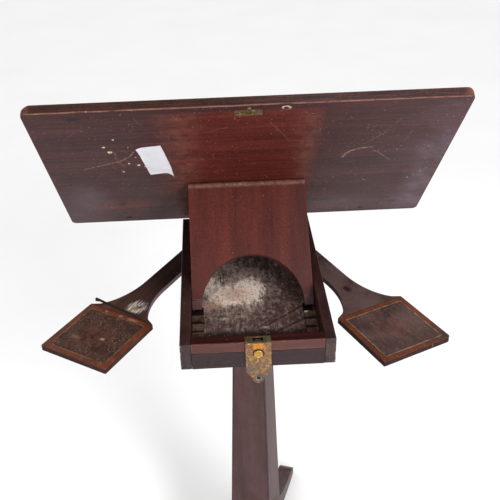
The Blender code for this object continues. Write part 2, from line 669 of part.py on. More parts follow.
def catch_spring():
    """A bowed leaf against the mortise's back wall, drawn pressed so that it clears the latch."""
    back = LOCK_FACE_Y + MORTISE_BACK - GAP
    bow = MORTISE_BACK - LATCH_BACK - BUTTON_TRAVEL - 2 * GAP - SPRING_THICK
    front_face = []
    rear_face = []
    for i in range(9):
        across = -1 + i / 4
        rise = bow * (1 - across * across)
        height = -BUTTON_DROP + across * 0.008
        front_face.append((back - SPRING_THICK - rise, height))
        rear_face.append((back - rise, height))
    outline("catch_spring", [front_face + rear_face[::-1]], 0.008, (0, 0, 0), FACING_X, tray, STEEL)


def arm_plan():
    """A bar with a round end, flaring in a hollow curve to the square paddle."""
    bar = ARM_BAR_WIDTH / 2
    paddle = PADDLE_SIDE / 2
    side = [(bar, -ARM_STRAIGHT)]
    for i in range(1, 13):
        t = i / 12
        flare = 1 - (1 - t * t) ** 0.62
        side.append((bar + (paddle - bar) * flare, -ARM_STRAIGHT - (ARM_NECK_END - ARM_STRAIGHT) * t))
    side.append((paddle, -ARM_END))
    mirrored = [(-x, y) for x, y in reversed(side)]
    return arc((0, 0), bar, 180, 0, 10) + side + mirrored


def candle_arm(side, parent):
    core = outline(side + "_arm", [arm_plan()], ARM_THICK, (0, 0, -ARM_THICK / 2), FLAT, parent, MAHOGANY)
    half = PADDLE_SIDE / 2
    inner_end = -ARM_NECK_END - GAP
    seat = block(side + "_veneer_seat", (-half - 0.005, -ARM_END - 0.005, -VENEER_THICK - GAP),
                 (half + 0.005, -ARM_NECK_END, 0.005), parent)
    pivot_hole = rod(side + "_arm_hole", PIVOT_RADIUS + RUNNING, (0, 0, -0.02), (0, 0, 0.01), parent,
                     segments=20)
    cut(core, seat, pivot_hole)
    middle = (0, 0, -VENEER_THICK / 2)

    def frame(inset):
        return rectangle(half - inset, -ARM_END + inset, inner_end - inset)

    line = BANDING_WIDTH + GAP
    panel = line + STRINGING_WIDTH + GAP
    outline(side + "_arm_banding", [frame(0.0), frame(BANDING_WIDTH)], VENEER_THICK, middle, FLAT, parent,
            BANDING_WOOD)
    outline(side + "_arm_stringing", [frame(line), frame(line + STRINGING_WIDTH)], VENEER_THICK, middle,
            FLAT, parent, BOXWOOD)
    outline(side + "_arm_panel", [frame(panel)], VENEER_THICK, middle, FLAT, parent, DARK_WOOD)


def arm_pivots(board):
    """The screw into the floor and the collar under the walls that carry each arm."""
    head = 0.0075
    head_thick = 0.003
    head_top = ARM_TOP - ARM_THICK - GAP
    tip = FLOOR_TOP - 0.002
    for side, x in (("left", -ARM_PIVOT_X), ("right", ARM_PIVOT_X)):
        profile = [(0, tip), (PIVOT_RADIUS, tip), (PIVOT_RADIUS, head_top), (head, head_top),
                   (head, head_top - head_thick), (0, head_top - head_thick)]
        place = Matrix.Translation((x, ARM_PIVOT_Y, 0))
        turned(side + "_arm_pivot", profile, place, tray, STEEL, steps=16)
        collar = rod(side + "_arm_collar", 0.012, (x, ARM_PIVOT_Y, ARM_TOP + GAP),
                     (x, ARM_PIVOT_Y, -TRAY_HEIGHT - GAP), tray, BRASS, segments=20)
        hole = rod(side + "_pivot_hole", PIVOT_RADIUS + GAP, (x, ARM_PIVOT_Y, -0.06),
                   (x, ARM_PIVOT_Y, tip + GAP), tray, segments=16)
        cut(collar, hole)
        cut(board, hole)


def bearer(board):
    made = block("bearer", (-BEARER_HALF_X, -BEARER_HALF_Y, BEARER_LOW),
                 (BEARER_HALF_X, BEARER_HALF_Y, FLOOR_LOW - GAP), tray, MAHOGANY, bevel=0.002)
    cut(made, rod("bearer_hole", SWIVEL_RADIUS + 2 * RUNNING, (0, 0, -0.08), (0, 0, 0), tray, segments=24))
    for side, x in (("left", -BEARER_SCREW_X), ("right", BEARER_SCREW_X)):
        _, hole = wood_screw(f"bearer_{side}_screw", (x, 0, BEARER_LOW), (0, 0, -1), 0.0045, 0.0022,
                             BEARER_SCREW_LENGTH, tray)
        cut(made, hole)
        cut(board, hole)


def column_half(height):
    """Half the column's side at a height above the floor."""
    share = (height - COLUMN_FOOT_HEIGHT) / (COLUMN_TOP_HEIGHT - COLUMN_FOOT_HEIGHT)
    return (COLUMN_FOOT_SIDE + (COLUMN_TOP_SIDE - COLUMN_FOOT_SIDE) * share) / 2


def column():
    shape = bmesh.new()
    middle = (COLUMN_TOP_HEIGHT + COLUMN_FOOT_HEIGHT) / 2
    place = Matrix.Translation((0, 0, middle)) @ Matrix.Rotation(math.radians(45), 4, "Z")
    corner = math.sqrt(2) / 2
    bmesh.ops.create_cone(shape, cap_ends=True, segments=4, radius1=COLUMN_FOOT_SIDE * corner,
                          radius2=COLUMN_TOP_SIDE * corner, depth=COLUMN_TOP_HEIGHT - COLUMN_FOOT_HEIGHT,
                          matrix=place)
    made = add_object("column", mesh_from(shape, "column"), base, MAHOGANY)
    soften(made, 0.0025, 2)
    pin_foot = COLUMN_TOP_HEIGHT - SWIVEL_SOCKET_DEPTH
    cut(made, rod("column_socket", SWIVEL_RADIUS + GAP, (0, 0, pin_foot - GAP), (0, 0, 1.0), base,
                  segments=24))
    rod("swivel_pin", SWIVEL_RADIUS, (0, 0, pin_foot), (0, 0, RIM_HEIGHT + FLOOR_LOW - 2 * GAP), base,
        STEEL, segments=24)
    return made


def curve_points(start, control, end, steps):
    points = []
    for i in range(steps + 1):
        t = i / steps
        points.append(tuple((1 - t) ** 2 * a + 2 * t * (1 - t) * b + t * t * c
                            for a, b, c in zip(start, control, end)))
    return points


def leg_profile():
    """A sabre-shaped leg as (reach from the axis, height)."""
    root_top = (column_half(LEG_TOP_HEIGHT) + GAP, LEG_TOP_HEIGHT)
    root_low = (column_half(LEG_ROOT_HEIGHT) + GAP, LEG_ROOT_HEIGHT)
    toe_top = (LEG_REACH - LEG_NOSE, LEG_TOE_HEIGHT)
    heel = (LEG_REACH - LEG_SOLE_LENGTH, 0.0)
    upper = curve_points(root_top, LEG_UPPER_BEND, toe_top, 14)
    nose = [(LEG_REACH - 0.003, 0.019), (LEG_REACH, 0.011), (LEG_REACH - 0.002, 0.0)]
    lower = curve_points(heel, LEG_LOWER_BEND, root_low, 12)
    return upper + nose + lower


def legs(post):
    """Four legs tenoned into the faces of the column."""
    tenon_low = LEG_ROOT_HEIGHT + TENON_LOW_SHOULDER
    tenon_high = LEG_TOP_HEIGHT - TENON_TOP_SHOULDER
    for name, angle in (("leg_right", 0), ("leg_far", 90), ("leg_left", 180), ("leg_near", 270)):
        turn = group(name + "_group", (0, 0, 0), (0, 0, angle), base)
        leg = outline(name, [leg_profile()], LEG_THICK, (0, 0, 0), FACING_Y, turn, MAHOGANY)
        root = column_half(tenon_low)
        inner = column_half(tenon_high) - TENON_DEPTH
        half = TENON_THICK / 2
        fuse(leg, block(name + "_tenon", (inner, -half, tenon_low), (root + 0.004, half, tenon_high), turn))
        cut(post, block(name + "_mortise", (inner - GAP, -half - GAP, tenon_low - GAP),
                        (root + 0.02, half + GAP, tenon_high + GAP), turn))


def book_rest(board):
    """A lift-out ledge whose two tongues drop into slots through the top."""
    low = UNDERSIDE + TOP_THICK + GAP
    half = BOOK_REST_THICK / 2
    ledge = block("book_rest", (-BOOK_REST_HALF, BOOK_REST_Y - half, low),
                  (BOOK_REST_HALF, BOOK_REST_Y + half, low + BOOK_REST_HEIGHT), top, MAHOGANY, bevel=0.0015)
    for side, x in (("left", -BOOK_PEG_X), ("right", BOOK_PEG_X)):
        peg = BOOK_PEG_WIDTH / 2
        thin = BOOK_PEG_THICK / 2
        fuse(ledge, block(side + "_book_peg", (x - peg, BOOK_REST_Y - thin, UNDERSIDE + BOOK_PEG_SHORT),
                          (x + peg, BOOK_REST_Y + thin, low + 0.004), top))
        cut(board, block(side + "_book_slot", (x - peg - GAP, BOOK_REST_Y - thin - GAP, -0.01),
                         (x + peg + GAP, BOOK_REST_Y + thin + GAP, 0.05), top))


def build():
    hinge_rail, floor_board = tray_boards()
    ratchets()
    board = top_board()
    top_hinges(board, hinge_rail)
    keeper(board)
    prop_board()
    prop_hinge(board)
    catch_parts()
    catch_spring()
    candle_arm("left", left_arm)
    candle_arm("right", right_arm)
    arm_pivots(floor_board)
    bearer(floor_board)
    legs(column())
    book_rest(board)


build()
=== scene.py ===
"""Looks of the reading table: worn woods, tarnished brass, dust and paper, studio light and a camera.

Metres, +Z up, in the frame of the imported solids. Each piece keeps its resting place in its mesh, so an object
coordinate is a place on the resting table. Grain and marks are drawn in the frame of the group that carries
the piece, which lies where the group's joint is.
"""
import json
import math

import bmesh
import bpy
from mathutils import Euler, Matrix, Vector, noise

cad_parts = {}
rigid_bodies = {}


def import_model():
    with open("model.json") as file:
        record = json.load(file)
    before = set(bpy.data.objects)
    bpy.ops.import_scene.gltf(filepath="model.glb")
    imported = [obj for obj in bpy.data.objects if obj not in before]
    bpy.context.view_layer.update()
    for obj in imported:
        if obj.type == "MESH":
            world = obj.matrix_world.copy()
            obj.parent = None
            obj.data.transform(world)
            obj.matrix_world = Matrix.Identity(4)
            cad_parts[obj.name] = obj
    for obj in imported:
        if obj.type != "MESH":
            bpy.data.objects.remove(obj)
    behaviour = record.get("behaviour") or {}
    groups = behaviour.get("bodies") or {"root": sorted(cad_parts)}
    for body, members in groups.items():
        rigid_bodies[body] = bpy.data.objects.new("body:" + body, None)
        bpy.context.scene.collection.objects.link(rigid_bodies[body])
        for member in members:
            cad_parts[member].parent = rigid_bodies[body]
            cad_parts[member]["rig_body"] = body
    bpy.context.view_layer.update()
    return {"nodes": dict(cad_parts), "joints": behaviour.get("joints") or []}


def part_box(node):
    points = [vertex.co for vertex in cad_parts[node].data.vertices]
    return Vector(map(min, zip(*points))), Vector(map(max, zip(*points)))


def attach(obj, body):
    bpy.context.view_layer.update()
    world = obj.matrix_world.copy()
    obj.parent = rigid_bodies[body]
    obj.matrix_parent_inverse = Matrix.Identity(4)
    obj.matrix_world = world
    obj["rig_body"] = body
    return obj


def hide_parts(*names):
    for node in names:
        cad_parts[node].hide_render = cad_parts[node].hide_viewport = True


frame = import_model()

NODES = frame["nodes"]
JOINTS = {joint["name"]: joint for joint in frame["joints"]}

# Camera, as fitted to the photograph's 500 pixel frame
CAMERA_PLACE = (-0.0472, -1.0570, 1.4204)
CAMERA_TURN = (57.13, 1.655, -2.289)
FRAME_PIXELS = 500.0
FOCAL_PIXELS = 801.3
CENTRE_PIXEL = (235.0, 265.0)
SENSOR_WIDTH = 36.0

# Turns of the groups at rest, in degrees
TOP_TILT = JOINTS["top_tilt"]["range_deg"][1]
PROP_SLOPE = -JOINTS["prop_fold"]["range_deg"][0] - TOP_TILT
LEFT_SWING = -JOINTS["left_arm_swing"]["range_deg"][1]
RIGHT_SWING = -JOINTS["right_arm_swing"]["range_deg"][0]
COLUMN_TURN = -19.0
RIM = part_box("left_side")[1].z


def group_frame(place, turn):
    """The matrix of a group's own frame."""
    return Matrix.LocRotScale(Vector(place), Euler([math.radians(angle) for angle in turn]), None)


TOP = group_frame(JOINTS["top_tilt"]["pos_m"], (-TOP_TILT, 0, 0))
PROP = group_frame(JOINTS["prop_fold"]["pos_m"], (PROP_SLOPE, 0, 0))
LEFT_ARM = group_frame(JOINTS["left_arm_swing"]["pos_m"], (0, 0, LEFT_SWING))
RIGHT_ARM = group_frame(JOINTS["right_arm_swing"]["pos_m"], (0, 0, RIGHT_SWING))
TRAY = group_frame((0, 0, RIM), (0, 0, 0))
BASE = group_frame((0, 0, 0), (0, 0, COLUMN_TURN))


def local_box(node, group):
    """The lowest and highest corner of a solid in its group's frame."""
    back = group.inverted()
    points = [back @ vertex.co for vertex in NODES[node].data.vertices]
    return (Vector([min(p[i] for p in points) for i in range(3)]),
            Vector([max(p[i] for p in points) for i in range(3)]))


def srgb(red, green, blue):
    """A colour given in screen values from 0 to 255."""
    linear = []
    for value in (red, green, blue):
        share = value / 255
        linear.append(share / 12.92 if share <= 0.04045 else ((share + 0.055) / 1.055) ** 2.4)
    return (*linear, 1.0)


def shown(colour):
    """A colour as a shader takes it: three plain numbers are screen values."""
    return srgb(*colour) if isinstance(colour, tuple) and len(colour) == 3 else colour


# Woods from dark to light, and what lies on them
MAHOGANY = ((34, 16, 17), (54, 29, 29), (80, 44, 41))
UPPER_MAHOGANY = ((40, 17, 13), (70, 32, 24), (102, 52, 38))
RED_MAHOGANY = ((45, 13, 11), (72, 25, 20), (98, 43, 34))
EDGE_WOOD = ((30, 16, 13), (52, 28, 22), (78, 44, 35))
DULL_EDGE_WOOD = ((42, 27, 26), (62, 42, 41), (88, 62, 61))
PROP_WOOD = ((44, 17, 14), (84, 34, 28), (114, 50, 40))
TRAY_WOOD = ((24, 12, 11), (42, 22, 20), (62, 34, 29))
LOCK_WOOD = ((32, 23, 24), (42, 31, 33), (53, 40, 42))
LIPPING_WOOD = ((54, 27, 24), (73, 39, 35), (92, 51, 45))
NECK_WOOD = ((40, 25, 21), (70, 47, 39), (100, 71, 59))
ARM_WOOD = ((26, 16, 14), (42, 26, 23), (62, 40, 34))
PANEL_WOOD = ((28, 17, 14), (47, 28, 22), (72, 42, 33))
DUSTY_PANEL_WOOD = ((40, 26, 25), (61, 42, 39), (85, 58, 53))
BAND_WOOD = ((68, 31, 14), (110, 53, 26), (144, 78, 42))
COLUMN_WOOD = ((48, 28, 28), (62, 38, 37), (76, 48, 46))
FLOOR_WOOD = ((48, 36, 34), (80, 64, 60), (116, 97, 90))
# A haze tone: painted sheen on the top's underside, and the column's waxed bloom
HAZE_AND_SHEEN = (112, 92, 102)
DUST = (140, 118, 102)
BARE_WOOD = (114, 68, 50)
# Pale tone of the top's lower arris: rubbed wear and a painted highlight
RUBBED_AND_LIT_ARRIS = (138, 94, 82)
# Near-black painted shade, for the floor along the tray's walls and down in the ratchet notches
PAINTED_SHADE = (14, 9, 8)
PAINT = (210, 192, 164)
CRUMBS = (186, 160, 142)
SCRATCH = (150, 122, 104)
DULL_SHEEN = 0.22


class Field:
    """A value that changes over a surface. Its sums and products add nodes to the surface's material."""

    def __init__(self, surface, socket):
        self.surface = surface
        self.socket = socket

    def __add__(self, other):
        return self.surface.math("ADD", self, other)

    def __sub__(self, other):
        return self.surface.math("SUBTRACT", self, other)

    def __rsub__(self, other):
        return self.surface.math("SUBTRACT", other, self)

    def __mul__(self, other):
        return self.surface.math("MULTIPLY", self, other)

    def __abs__(self):
        return self.surface.math("ABSOLUTE", self)

    def fade(self, start, end):
        """0 at the start and 1 at the end, with an easy run between them."""
        node = self.surface.nodes.new("ShaderNodeMapRange")
        node.interpolation_type = "SMOOTHSTEP"
        low, high = sorted((start, end))
        rising = start < end
        for name, value in (("Value", self), ("From Min", low), ("From Max", high),
                            ("To Min", 0.0 if rising else 1.0), ("To Max", 1.0 if rising else 0.0)):
            self.surface.feed(node.inputs[name], value)
        return Field(self.surface, node.outputs[0])


class Surface:
    """A procedural material that is built node by node, with tones laid one over the other."""

    def __init__(self, name, group=None):
        self.material = bpy.data.materials.new(name)
        self.material.use_nodes = True
        self.nodes = self.material.node_tree.nodes
        self.links = self.material.node_tree.links
        self.shader = self.nodes["Principled BSDF"]
        self.colour = None
        coordinate = self.nodes.new("ShaderNodeTexCoord")
        self.normal = coordinate.outputs["Normal"]
        self.place = coordinate.outputs["Object"]
        if group is not None:
            moved = self.nodes.new("ShaderNodeMapping")
            moved.vector_type = "TEXTURE"
            moved.inputs["Location"].default_value = group.to_translation()
            moved.inputs["Rotation"].default_value = group.to_euler()
            self.feed(moved.inputs["Vector"], self.place)
            self.place = moved.outputs[0]
        self.x, self.y, self.z = self.split(self.place)

    def feed(self, socket, value):
        if isinstance(value, Field):
            value = value.socket
        if isinstance(value, bpy.types.NodeSocket):
            self.links.new(value, socket)
        else:
            socket.default_value = value

    def split(self, vector):
        """The three parts of a vector."""
        node = self.nodes.new("ShaderNodeSeparateXYZ")
        self.feed(node.inputs[0], vector)
        return [Field(self, socket) for socket in node.outputs]

    def math(self, operation, *values):
        node = self.nodes.new("ShaderNodeMath")
        node.operation = operation
        for socket, value in zip(node.inputs, values):
            self.feed(socket, value)
        return Field(self, node.outputs[0])

    def vector(self, operation, *values, scale=None):
        node = self.nodes.new("ShaderNodeVectorMath")
        node.operation = operation
        for socket, value in zip(node.inputs, values):
            self.feed(socket, value)
        if scale is not None:
            self.feed(node.inputs["Scale"], scale)
        return Field(self, node.outputs["Value" if operation in ("LENGTH", "DOT_PRODUCT") else "Vector"])

    def largest(self, *values):
        result = values[0]
        for value in values[1:]:
            result = self.math("MAXIMUM", result, value)
        return result

    def smallest(self, first, second):
        return self.math("MINIMUM", first, second)

    def noise(self, scales, detail=2.0, roughness=0.5, distortion=0.0, shift=0.0):
        """Noise with its own count per metre along each axis, or with one count for all."""
        scales = scales if isinstance(scales, tuple) else (scales,) * 3
        node = self.nodes.new("ShaderNodeTexNoise")
        place = self.vector("MULTIPLY_ADD", self.place, scales, (shift,) * 3)
        for name, value in (("Vector", place), ("Scale", 1.0), ("Detail", detail),
                            ("Roughness", roughness), ("Distortion", distortion)):
            self.feed(node.inputs[name], value)
        return Field(self, node.outputs[0])

    def mix(self, share, first, second):
        node = self.nodes.new("ShaderNodeMix")
        node.data_type = "RGBA"
        self.feed(node.inputs[0], share)
        self.feed(node.inputs[6], shown(first))
        self.feed(node.inputs[7], shown(second))
        return Field(self, node.outputs[2])

    def over(self, tone, *shares):
        """Lays a tone over the colour so far, as strongly as the product of the shares says."""
        share = shares[0]
        for other in shares[1:]:
            share = share * other
        self.colour = self.mix(share, self.colour, tone)

    def ramp(self, value, colours, low, high):
        """Colours spread evenly from a low to a high value."""
        node = self.nodes.new("ShaderNodeValToRGB")
        self.feed(node.inputs[0], value)
        stops = node.color_ramp.elements
        while len(stops) < len(colours):
            stops.new(0.5)
        for i, colour in enumerate(colours):
            stops[i].position = low + (high - low) * i / (len(colours) - 1)
            stops[i].color = shown(colour)
        return Field(self, node.outputs[0])

    def flat_place(self, scale=(1.0, 1.0, 0.0)):
        return self.vector("MULTIPLY", self.place, scale)

    def upright_place(self):
        """The place seen from the front: across and up."""
        node = self.nodes.new("ShaderNodeCombineXYZ")
        self.feed(node.inputs[0], self.x)
        self.feed(node.inputs[1], self.z)
        return Field(self, node.outputs[0])

    def ragged(self, flat, amount, count):
        """A flat place pushed about, so that marks drawn on it lose their clean outlines."""
        node = self.nodes.new("ShaderNodeTexNoise")
        for name, value in (("Vector", self.place), ("Scale", count), ("Detail", 3.0)):
            self.feed(node.inputs[name], value)
        push = self.vector("SUBTRACT", node.outputs["Color"], (0.5, 0.5, 0.5))
        push = self.vector("MULTIPLY", push, (amount, amount, 0.0))
        return self.vector("ADD", flat, push)

    def spot(self, flat, centre, radii, soft=0.35):
        """1 inside an ellipse, fading out at its rim."""
        away = self.vector("SUBTRACT", flat, (*centre, 0.0))
        away = self.vector("MULTIPLY", away, (1 / radii[0], 1 / radii[1], 0.0))
        return self.vector("LENGTH", away).fade(1.0, 1.0 - soft)

    def spots(self, flat, marks, soft):
        """The largest of several spots, each given as (centre, radii, share)."""
        return self.largest(*[self.spot(flat, centre, radii, soft) * share for centre, radii, share in marks])

    def stroke(self, flat, points, width):
        """1 on a line of straight runs, fading out at its width."""
        runs = []
        for start, end in zip(points, points[1:]):
            start = Vector((*start, 0.0))
            run = Vector((*end, 0.0)) - start
            away = self.vector("SUBTRACT", flat, start)
            share = self.vector("DOT_PRODUCT", away, run / run.length_squared)
            share = self.smallest(self.largest(share, 0.0), 1.0)
            nearest = self.vector("SCALE", run, scale=share)
            runs.append(self.vector("LENGTH", self.vector("SUBTRACT", away, nearest)).fade(width, 0.0))
        return self.largest(*runs)

    def arris(self, low, high):
        """The distance to the nearest edge of a box that the piece fills."""
        first, second, third = [self.smallest(value - start, end - value)
                                for value, start, end in zip((self.x, self.y, self.z), low, high)]
        greater = self.largest(first, second)
        return self.largest(self.smallest(first, second), self.smallest(greater, third))

    def upward(self):
        """1 where the resting piece faces up, so that dust lies on it."""
        return self.split(self.normal)[2].fade(0.45, 0.9)

    def finish(self, roughness, height=None, relief=0.0003, strength=0.5, metallic=None):
        self.feed(self.shader.inputs["Base Color"], self.colour)
        self.feed(self.shader.inputs["Roughness"], roughness)
        if metallic is not None:
            self.feed(self.shader.inputs["Metallic"], metallic)
        if height is not None:
            bump = self.nodes.new("ShaderNodeBump")
            for name, value in (("Strength", strength), ("Distance", relief), ("Height", height)):
                self.feed(bump.inputs[name], value)
            self.feed(self.shader.inputs["Normal"], bump.outputs[0])
        return self.material


def along_axis(axis, lengthwise, across):
    """Counts per metre for grain that runs along one axis."""
    return tuple(lengthwise if i == axis else across for i in range(3))


class Wood(Surface):
    """Mahogany with bands, stripes, fibres and pores along one axis of its group's frame."""

    def __init__(self, name, group, axis, stripe=150.0, shift=0.0, sheen=DULL_SHEEN):
        super().__init__(name, group)
        self.shader.inputs["Specular IOR Level"].default_value = sheen
        bands = self.noise(along_axis(axis, 2.2, 26.0), 3.0, 0.55, 0.5, shift)
        stripes = self.noise(along_axis(axis, 7.0, stripe), 3.0, 0.6, 0.3, shift + 3.1)
        fibres = self.noise(along_axis(axis, 40.0, 900.0), 2.0, 0.6, 0.0, shift)
        self.pores = self.noise(along_axis(axis, 150.0, 2300.0), 1.0, 0.5).fade(0.57, 0.69)
        mottle = self.noise(330.0, 4.0, 0.8, 0.0, shift)
        self.tone = bands * 0.30 + stripes * 0.28 + mottle * 0.28 + fibres * 0.14
        self.relief = fibres - self.pores
        self.patches = self.noise(14.0, 4.0, 0.6, 0.4, shift + 7.7)
        self.grime = self.noise(70.0, 4.0, 0.65, 0.2, shift + 1.3)

    def grain(self, palette, spread=0.12):
        colour = self.ramp(self.tone, palette, 0.5 - spread, 0.5 + spread)
        return self.mix(self.pores * 0.5, colour, palette[0])

    def specks(self, width, count):
        """Round specks in loose crowds: their usual width, and about how many there are per square metre."""
        chosen = 0.5
        spacing = (chosen * width / count) ** (1 / 3)
        cells = self.nodes.new("ShaderNodeTexVoronoi")
        self.feed(cells.inputs["Vector"], self.place)
        cells.inputs["Scale"].default_value = 1 / spacing
        chance, size, _ = self.split(cells.outputs["Color"])
        radius = width / 2 / spacing
        inside = size * (0.9 * radius) + 0.5 * radius - Field(self, cells.outputs["Distance"])
        crowd = self.noise(26.0, 2.0, 0.5, 0.0, 5.0).fade(0.36, 0.58)
        return self.math("LESS_THAN", chance, chosen) * inside.fade(0.0, 0.4 * radius) * crowd

    def worn_edge(self, low, high, reach):
        """Uneven wear along the arrises of a box, from 0 to 1."""
        return self.arris(low, high).fade(reach, 0.0) * self.grime.fade(0.36, 0.62)

    def polish(self, base, spread):
        """Roughness that follows the patches of an old finish."""
        return self.patches * spread + (base - spread / 2)


def millimetres(*points):
    return [tuple(value / 1000 for value in point) for point in points]


# Marks on the underside of the top, as (across, reach from the hinge) in millimetres
PAINT_SPOTS = ((-208, 275, 2.6), (-192, 296, 1.9), (-164, 214, 3.0), (-190, 193, 2.0), (-178, 220, 2.0),
               (-174, 271, 1.2), (-166, 239, 1.5), (-155, 208, 1.8), (-150, 211, 1.4), (278, 150, 1.3),
               (262, 128, 1.2), (270, 138, 0.9), (286, 160, 0.9), (226, 230, 1.1), (190, 128, 1.0))
LONG_SCRATCH = millimetres((-248, 206), (-236, 211), (-222, 216), (-208, 221), (-196, 226), (-184, 234),
                           (-174, 244), (-167, 257))
SPLASH_TAIL = millimetres((-199, 262), (-194, 252), (-196, 240), (-193, 226), (-186, 210))
ARC_SCRATCH = millimetres((146, 212), (149, 222), (155, 230), (164, 236), (174, 239), (187, 240))
BROWN_SCRATCH = millimetres((188, 231), (200, 222), (212, 206), (221, 196))
FAINT_SCRATCHES = (millimetres((170, 248), (192, 276), (216, 324)), millimetres((182, 262), (212, 300)),
                   millimetres((262, 230), (280, 246), (300, 268)), millimetres((258, 220), (284, 244)),
                   millimetres((-156, 354), (-151, 340), (-145, 328)),
                   millimetres((30, 328), (46, 300), (62, 268)),
                   millimetres((232, 254), (238, 288)), millimetres((-62, 306), (-30, 318)),
                   millimetres((-262, 300), (-240, 322)), millimetres((-232, 174), (-226, 186), (-216, 190)))

# Each of these lines with its width in metres and its share
SCRATCHES = ((LONG_SCRATCH, 0.0014, 0.85), (SPLASH_TAIL, 0.0010, 0.5), (ARC_SCRATCH, 0.0032, 0.55),
             (BROWN_SCRATCH, 0.0018, 0.45), *((line, 0.0009, 0.24) for line in FAINT_SCRATCHES))

# Rings of paint on the underside in metres: (centre, radii, softness) outside and inside, hollowness, share
PAINT_RINGS = ((((-0.2015, 0.259), (0.0042, 0.0046), 0.5),
                ((-0.2010, 0.260), (0.0026, 0.0028), 0.6), 0.7, 1.0),
               (((0.051, 0.3660), (0.0074, 0.0056), 0.4),
                ((0.051, 0.3650), (0.0054, 0.0042), 0.4), 1.0, 0.68),
               (((0.001, 0.3670), (0.0032, 0.0028), 0.5),
                ((0.001, 0.3665), (0.0020, 0.0018), 0.5), 1.0, 0.35))

# Spots of painted cool sheen and dark stains on the underside, as (centre, radii, share)
COOL_SHEEN_SPOTS = (((0.292, 0.232), (0.046, 0.074), 1.0), ((0.286, 0.128), (0.044, 0.090), 0.8),
              ((0.280, 0.036), (0.066, 0.056), 0.8), ((0.165, 0.040), (0.110, 0.045), 0.5),
              ((-0.258, 0.105), (0.050, 0.080), 0.45))
STAINS = (((-0.239, 0.357), (0.017, 0.009), 1.0), ((-0.292, 0.343), (0.012, 0.008), 0.5),
          ((0.252, 0.036), (0.012, 0.006), 0.7))

# Painted shadow edges: dark diagonal lines on the tray's floor, in metres
FLOOR_SHADOW_EDGES = (((0.018, -0.096), (0.081, -0.046)), ((0.038, -0.108), (0.081, -0.078)))

# Where the tray's floor is pale with dust and painted light, warm, dark with soot and painted shadow, or
# chalky, as (centre, radii, share)
FLOOR_PALE_AND_LIT = (((0.000, -0.004), (0.040, 0.060), 1.0), ((-0.034, -0.014), (0.050, 0.038), 1.0),
              ((-0.068, 0.018), (0.034, 0.048), 0.7))
FLOOR_WARM = (((-0.022, -0.010), (0.038, 0.028), 1.0), ((-0.064, -0.036), (0.032, 0.026), 0.9))
FLOOR_SOOT_AND_SHADOW = (((-0.042, 0.040), (0.026, 0.034), 1.0), ((-0.034, -0.054), (0.030, 0.018), 0.9),
              ((0.020, -0.004), (0.014, 0.038), 0.9), ((0.004, 0.082), (0.044, 0.028), 0.9),
              ((0.072, 0.034), (0.034, 0.066), 1.0))
FLOOR_CHALK = (((-0.0454, -0.0749), (0.009, 0.006), 1.0), ((-0.016, -0.070), (0.008, 0.006), 0.5),
               ((0.015, -0.100), (0.009, 0.004), 0.7))


def top_marks(paint, flat):
    """Splashes of paint and scratches on the underside, as two shares."""
    spots = [paint.spot(flat, (x / 1000, s / 1000), (r / 1000, r / 1000), 0.6) for x, s, r in PAINT_SPOTS]
    rings = [(paint.spot(flat, *outside) - paint.spot(flat, *inside) * hollow) * share
             for outside, inside, hollow, share in PAINT_RINGS]
    splashes = paint.largest(*spots, *rings, paint.specks(0.0011, 9000.0) * 0.5)
    lines = [paint.stroke(flat, points, width) * share for points, width, share in SCRATCHES]
    broken = paint.noise(210.0, 3.0, 0.7).fade(0.34, 0.58)
    return splashes, paint.largest(*lines) * broken


def top_edge(paint, low, high, across, reach):
    """The edge of the top: streaky and dark, with a rubbed lower arris, painted pale in part as a highlight on
    its rounding, and bare corners.
    """
    free_edge = reach.fade(0.3735, 0.3755)
    edge_face = paint.largest(free_edge, across.fade(0.3028, 0.3045))
    streaks = paint.noise((14.0, 14.0, 480.0), 5.0, 0.75, 0.3)
    flakes = paint.noise((240.0, 240.0, 900.0), 4.0, 0.75, 0.3, 6.0)
    streaks = flakes * 0.5 + streaks * 0.5
    wood = paint.mix(paint.x.fade(-0.08, 0.14), paint.ramp(streaks, EDGE_WOOD, 0.4, 0.62),
                     paint.ramp(streaks, DULL_EDGE_WOOD, 0.4, 0.62))
    paint.over(wood, edge_face)
    flecks = edge_face * paint.specks(0.001, 15000.0) * 0.5
    paint.over(CRUMBS, flecks)
    near = paint.arris(low, high).fade(0.0022, 0.0006)
    front = reach.fade(0.366, 0.373)
    rubs = paint.noise((46.0, 46.0, 900.0), 4.0, 0.7, 0.2, 13.0)
    # The lower arris: rubbed wear, and a painted highlight where light catches its rounding
    lower = near * paint.z.fade(0.005, 0.0022) * rubs.fade(0.34, 0.62)
    paint.over(RUBBED_AND_LIT_ARRIS, lower, front * 0.75 + 0.08)
    chipped = lower * front * paint.x.fade(-0.1, -0.22) * paint.specks(0.0022, 40000.0)
    paint.over(PAINT, chipped, 0.8)
    upper = near * paint.z.fade(0.0095, 0.0125) * paint.grime.fade(0.4, 0.6)
    paint.over(BARE_WOOD, upper, 0.35)
    corner = across.fade(0.288, 0.3) * reach.fade(0.364, 0.3715) * paint.z.fade(0.0012, 0.0024)
    paint.over(BARE_WOOD, corner, paint.grime.fade(0.26, 0.56), 0.85)


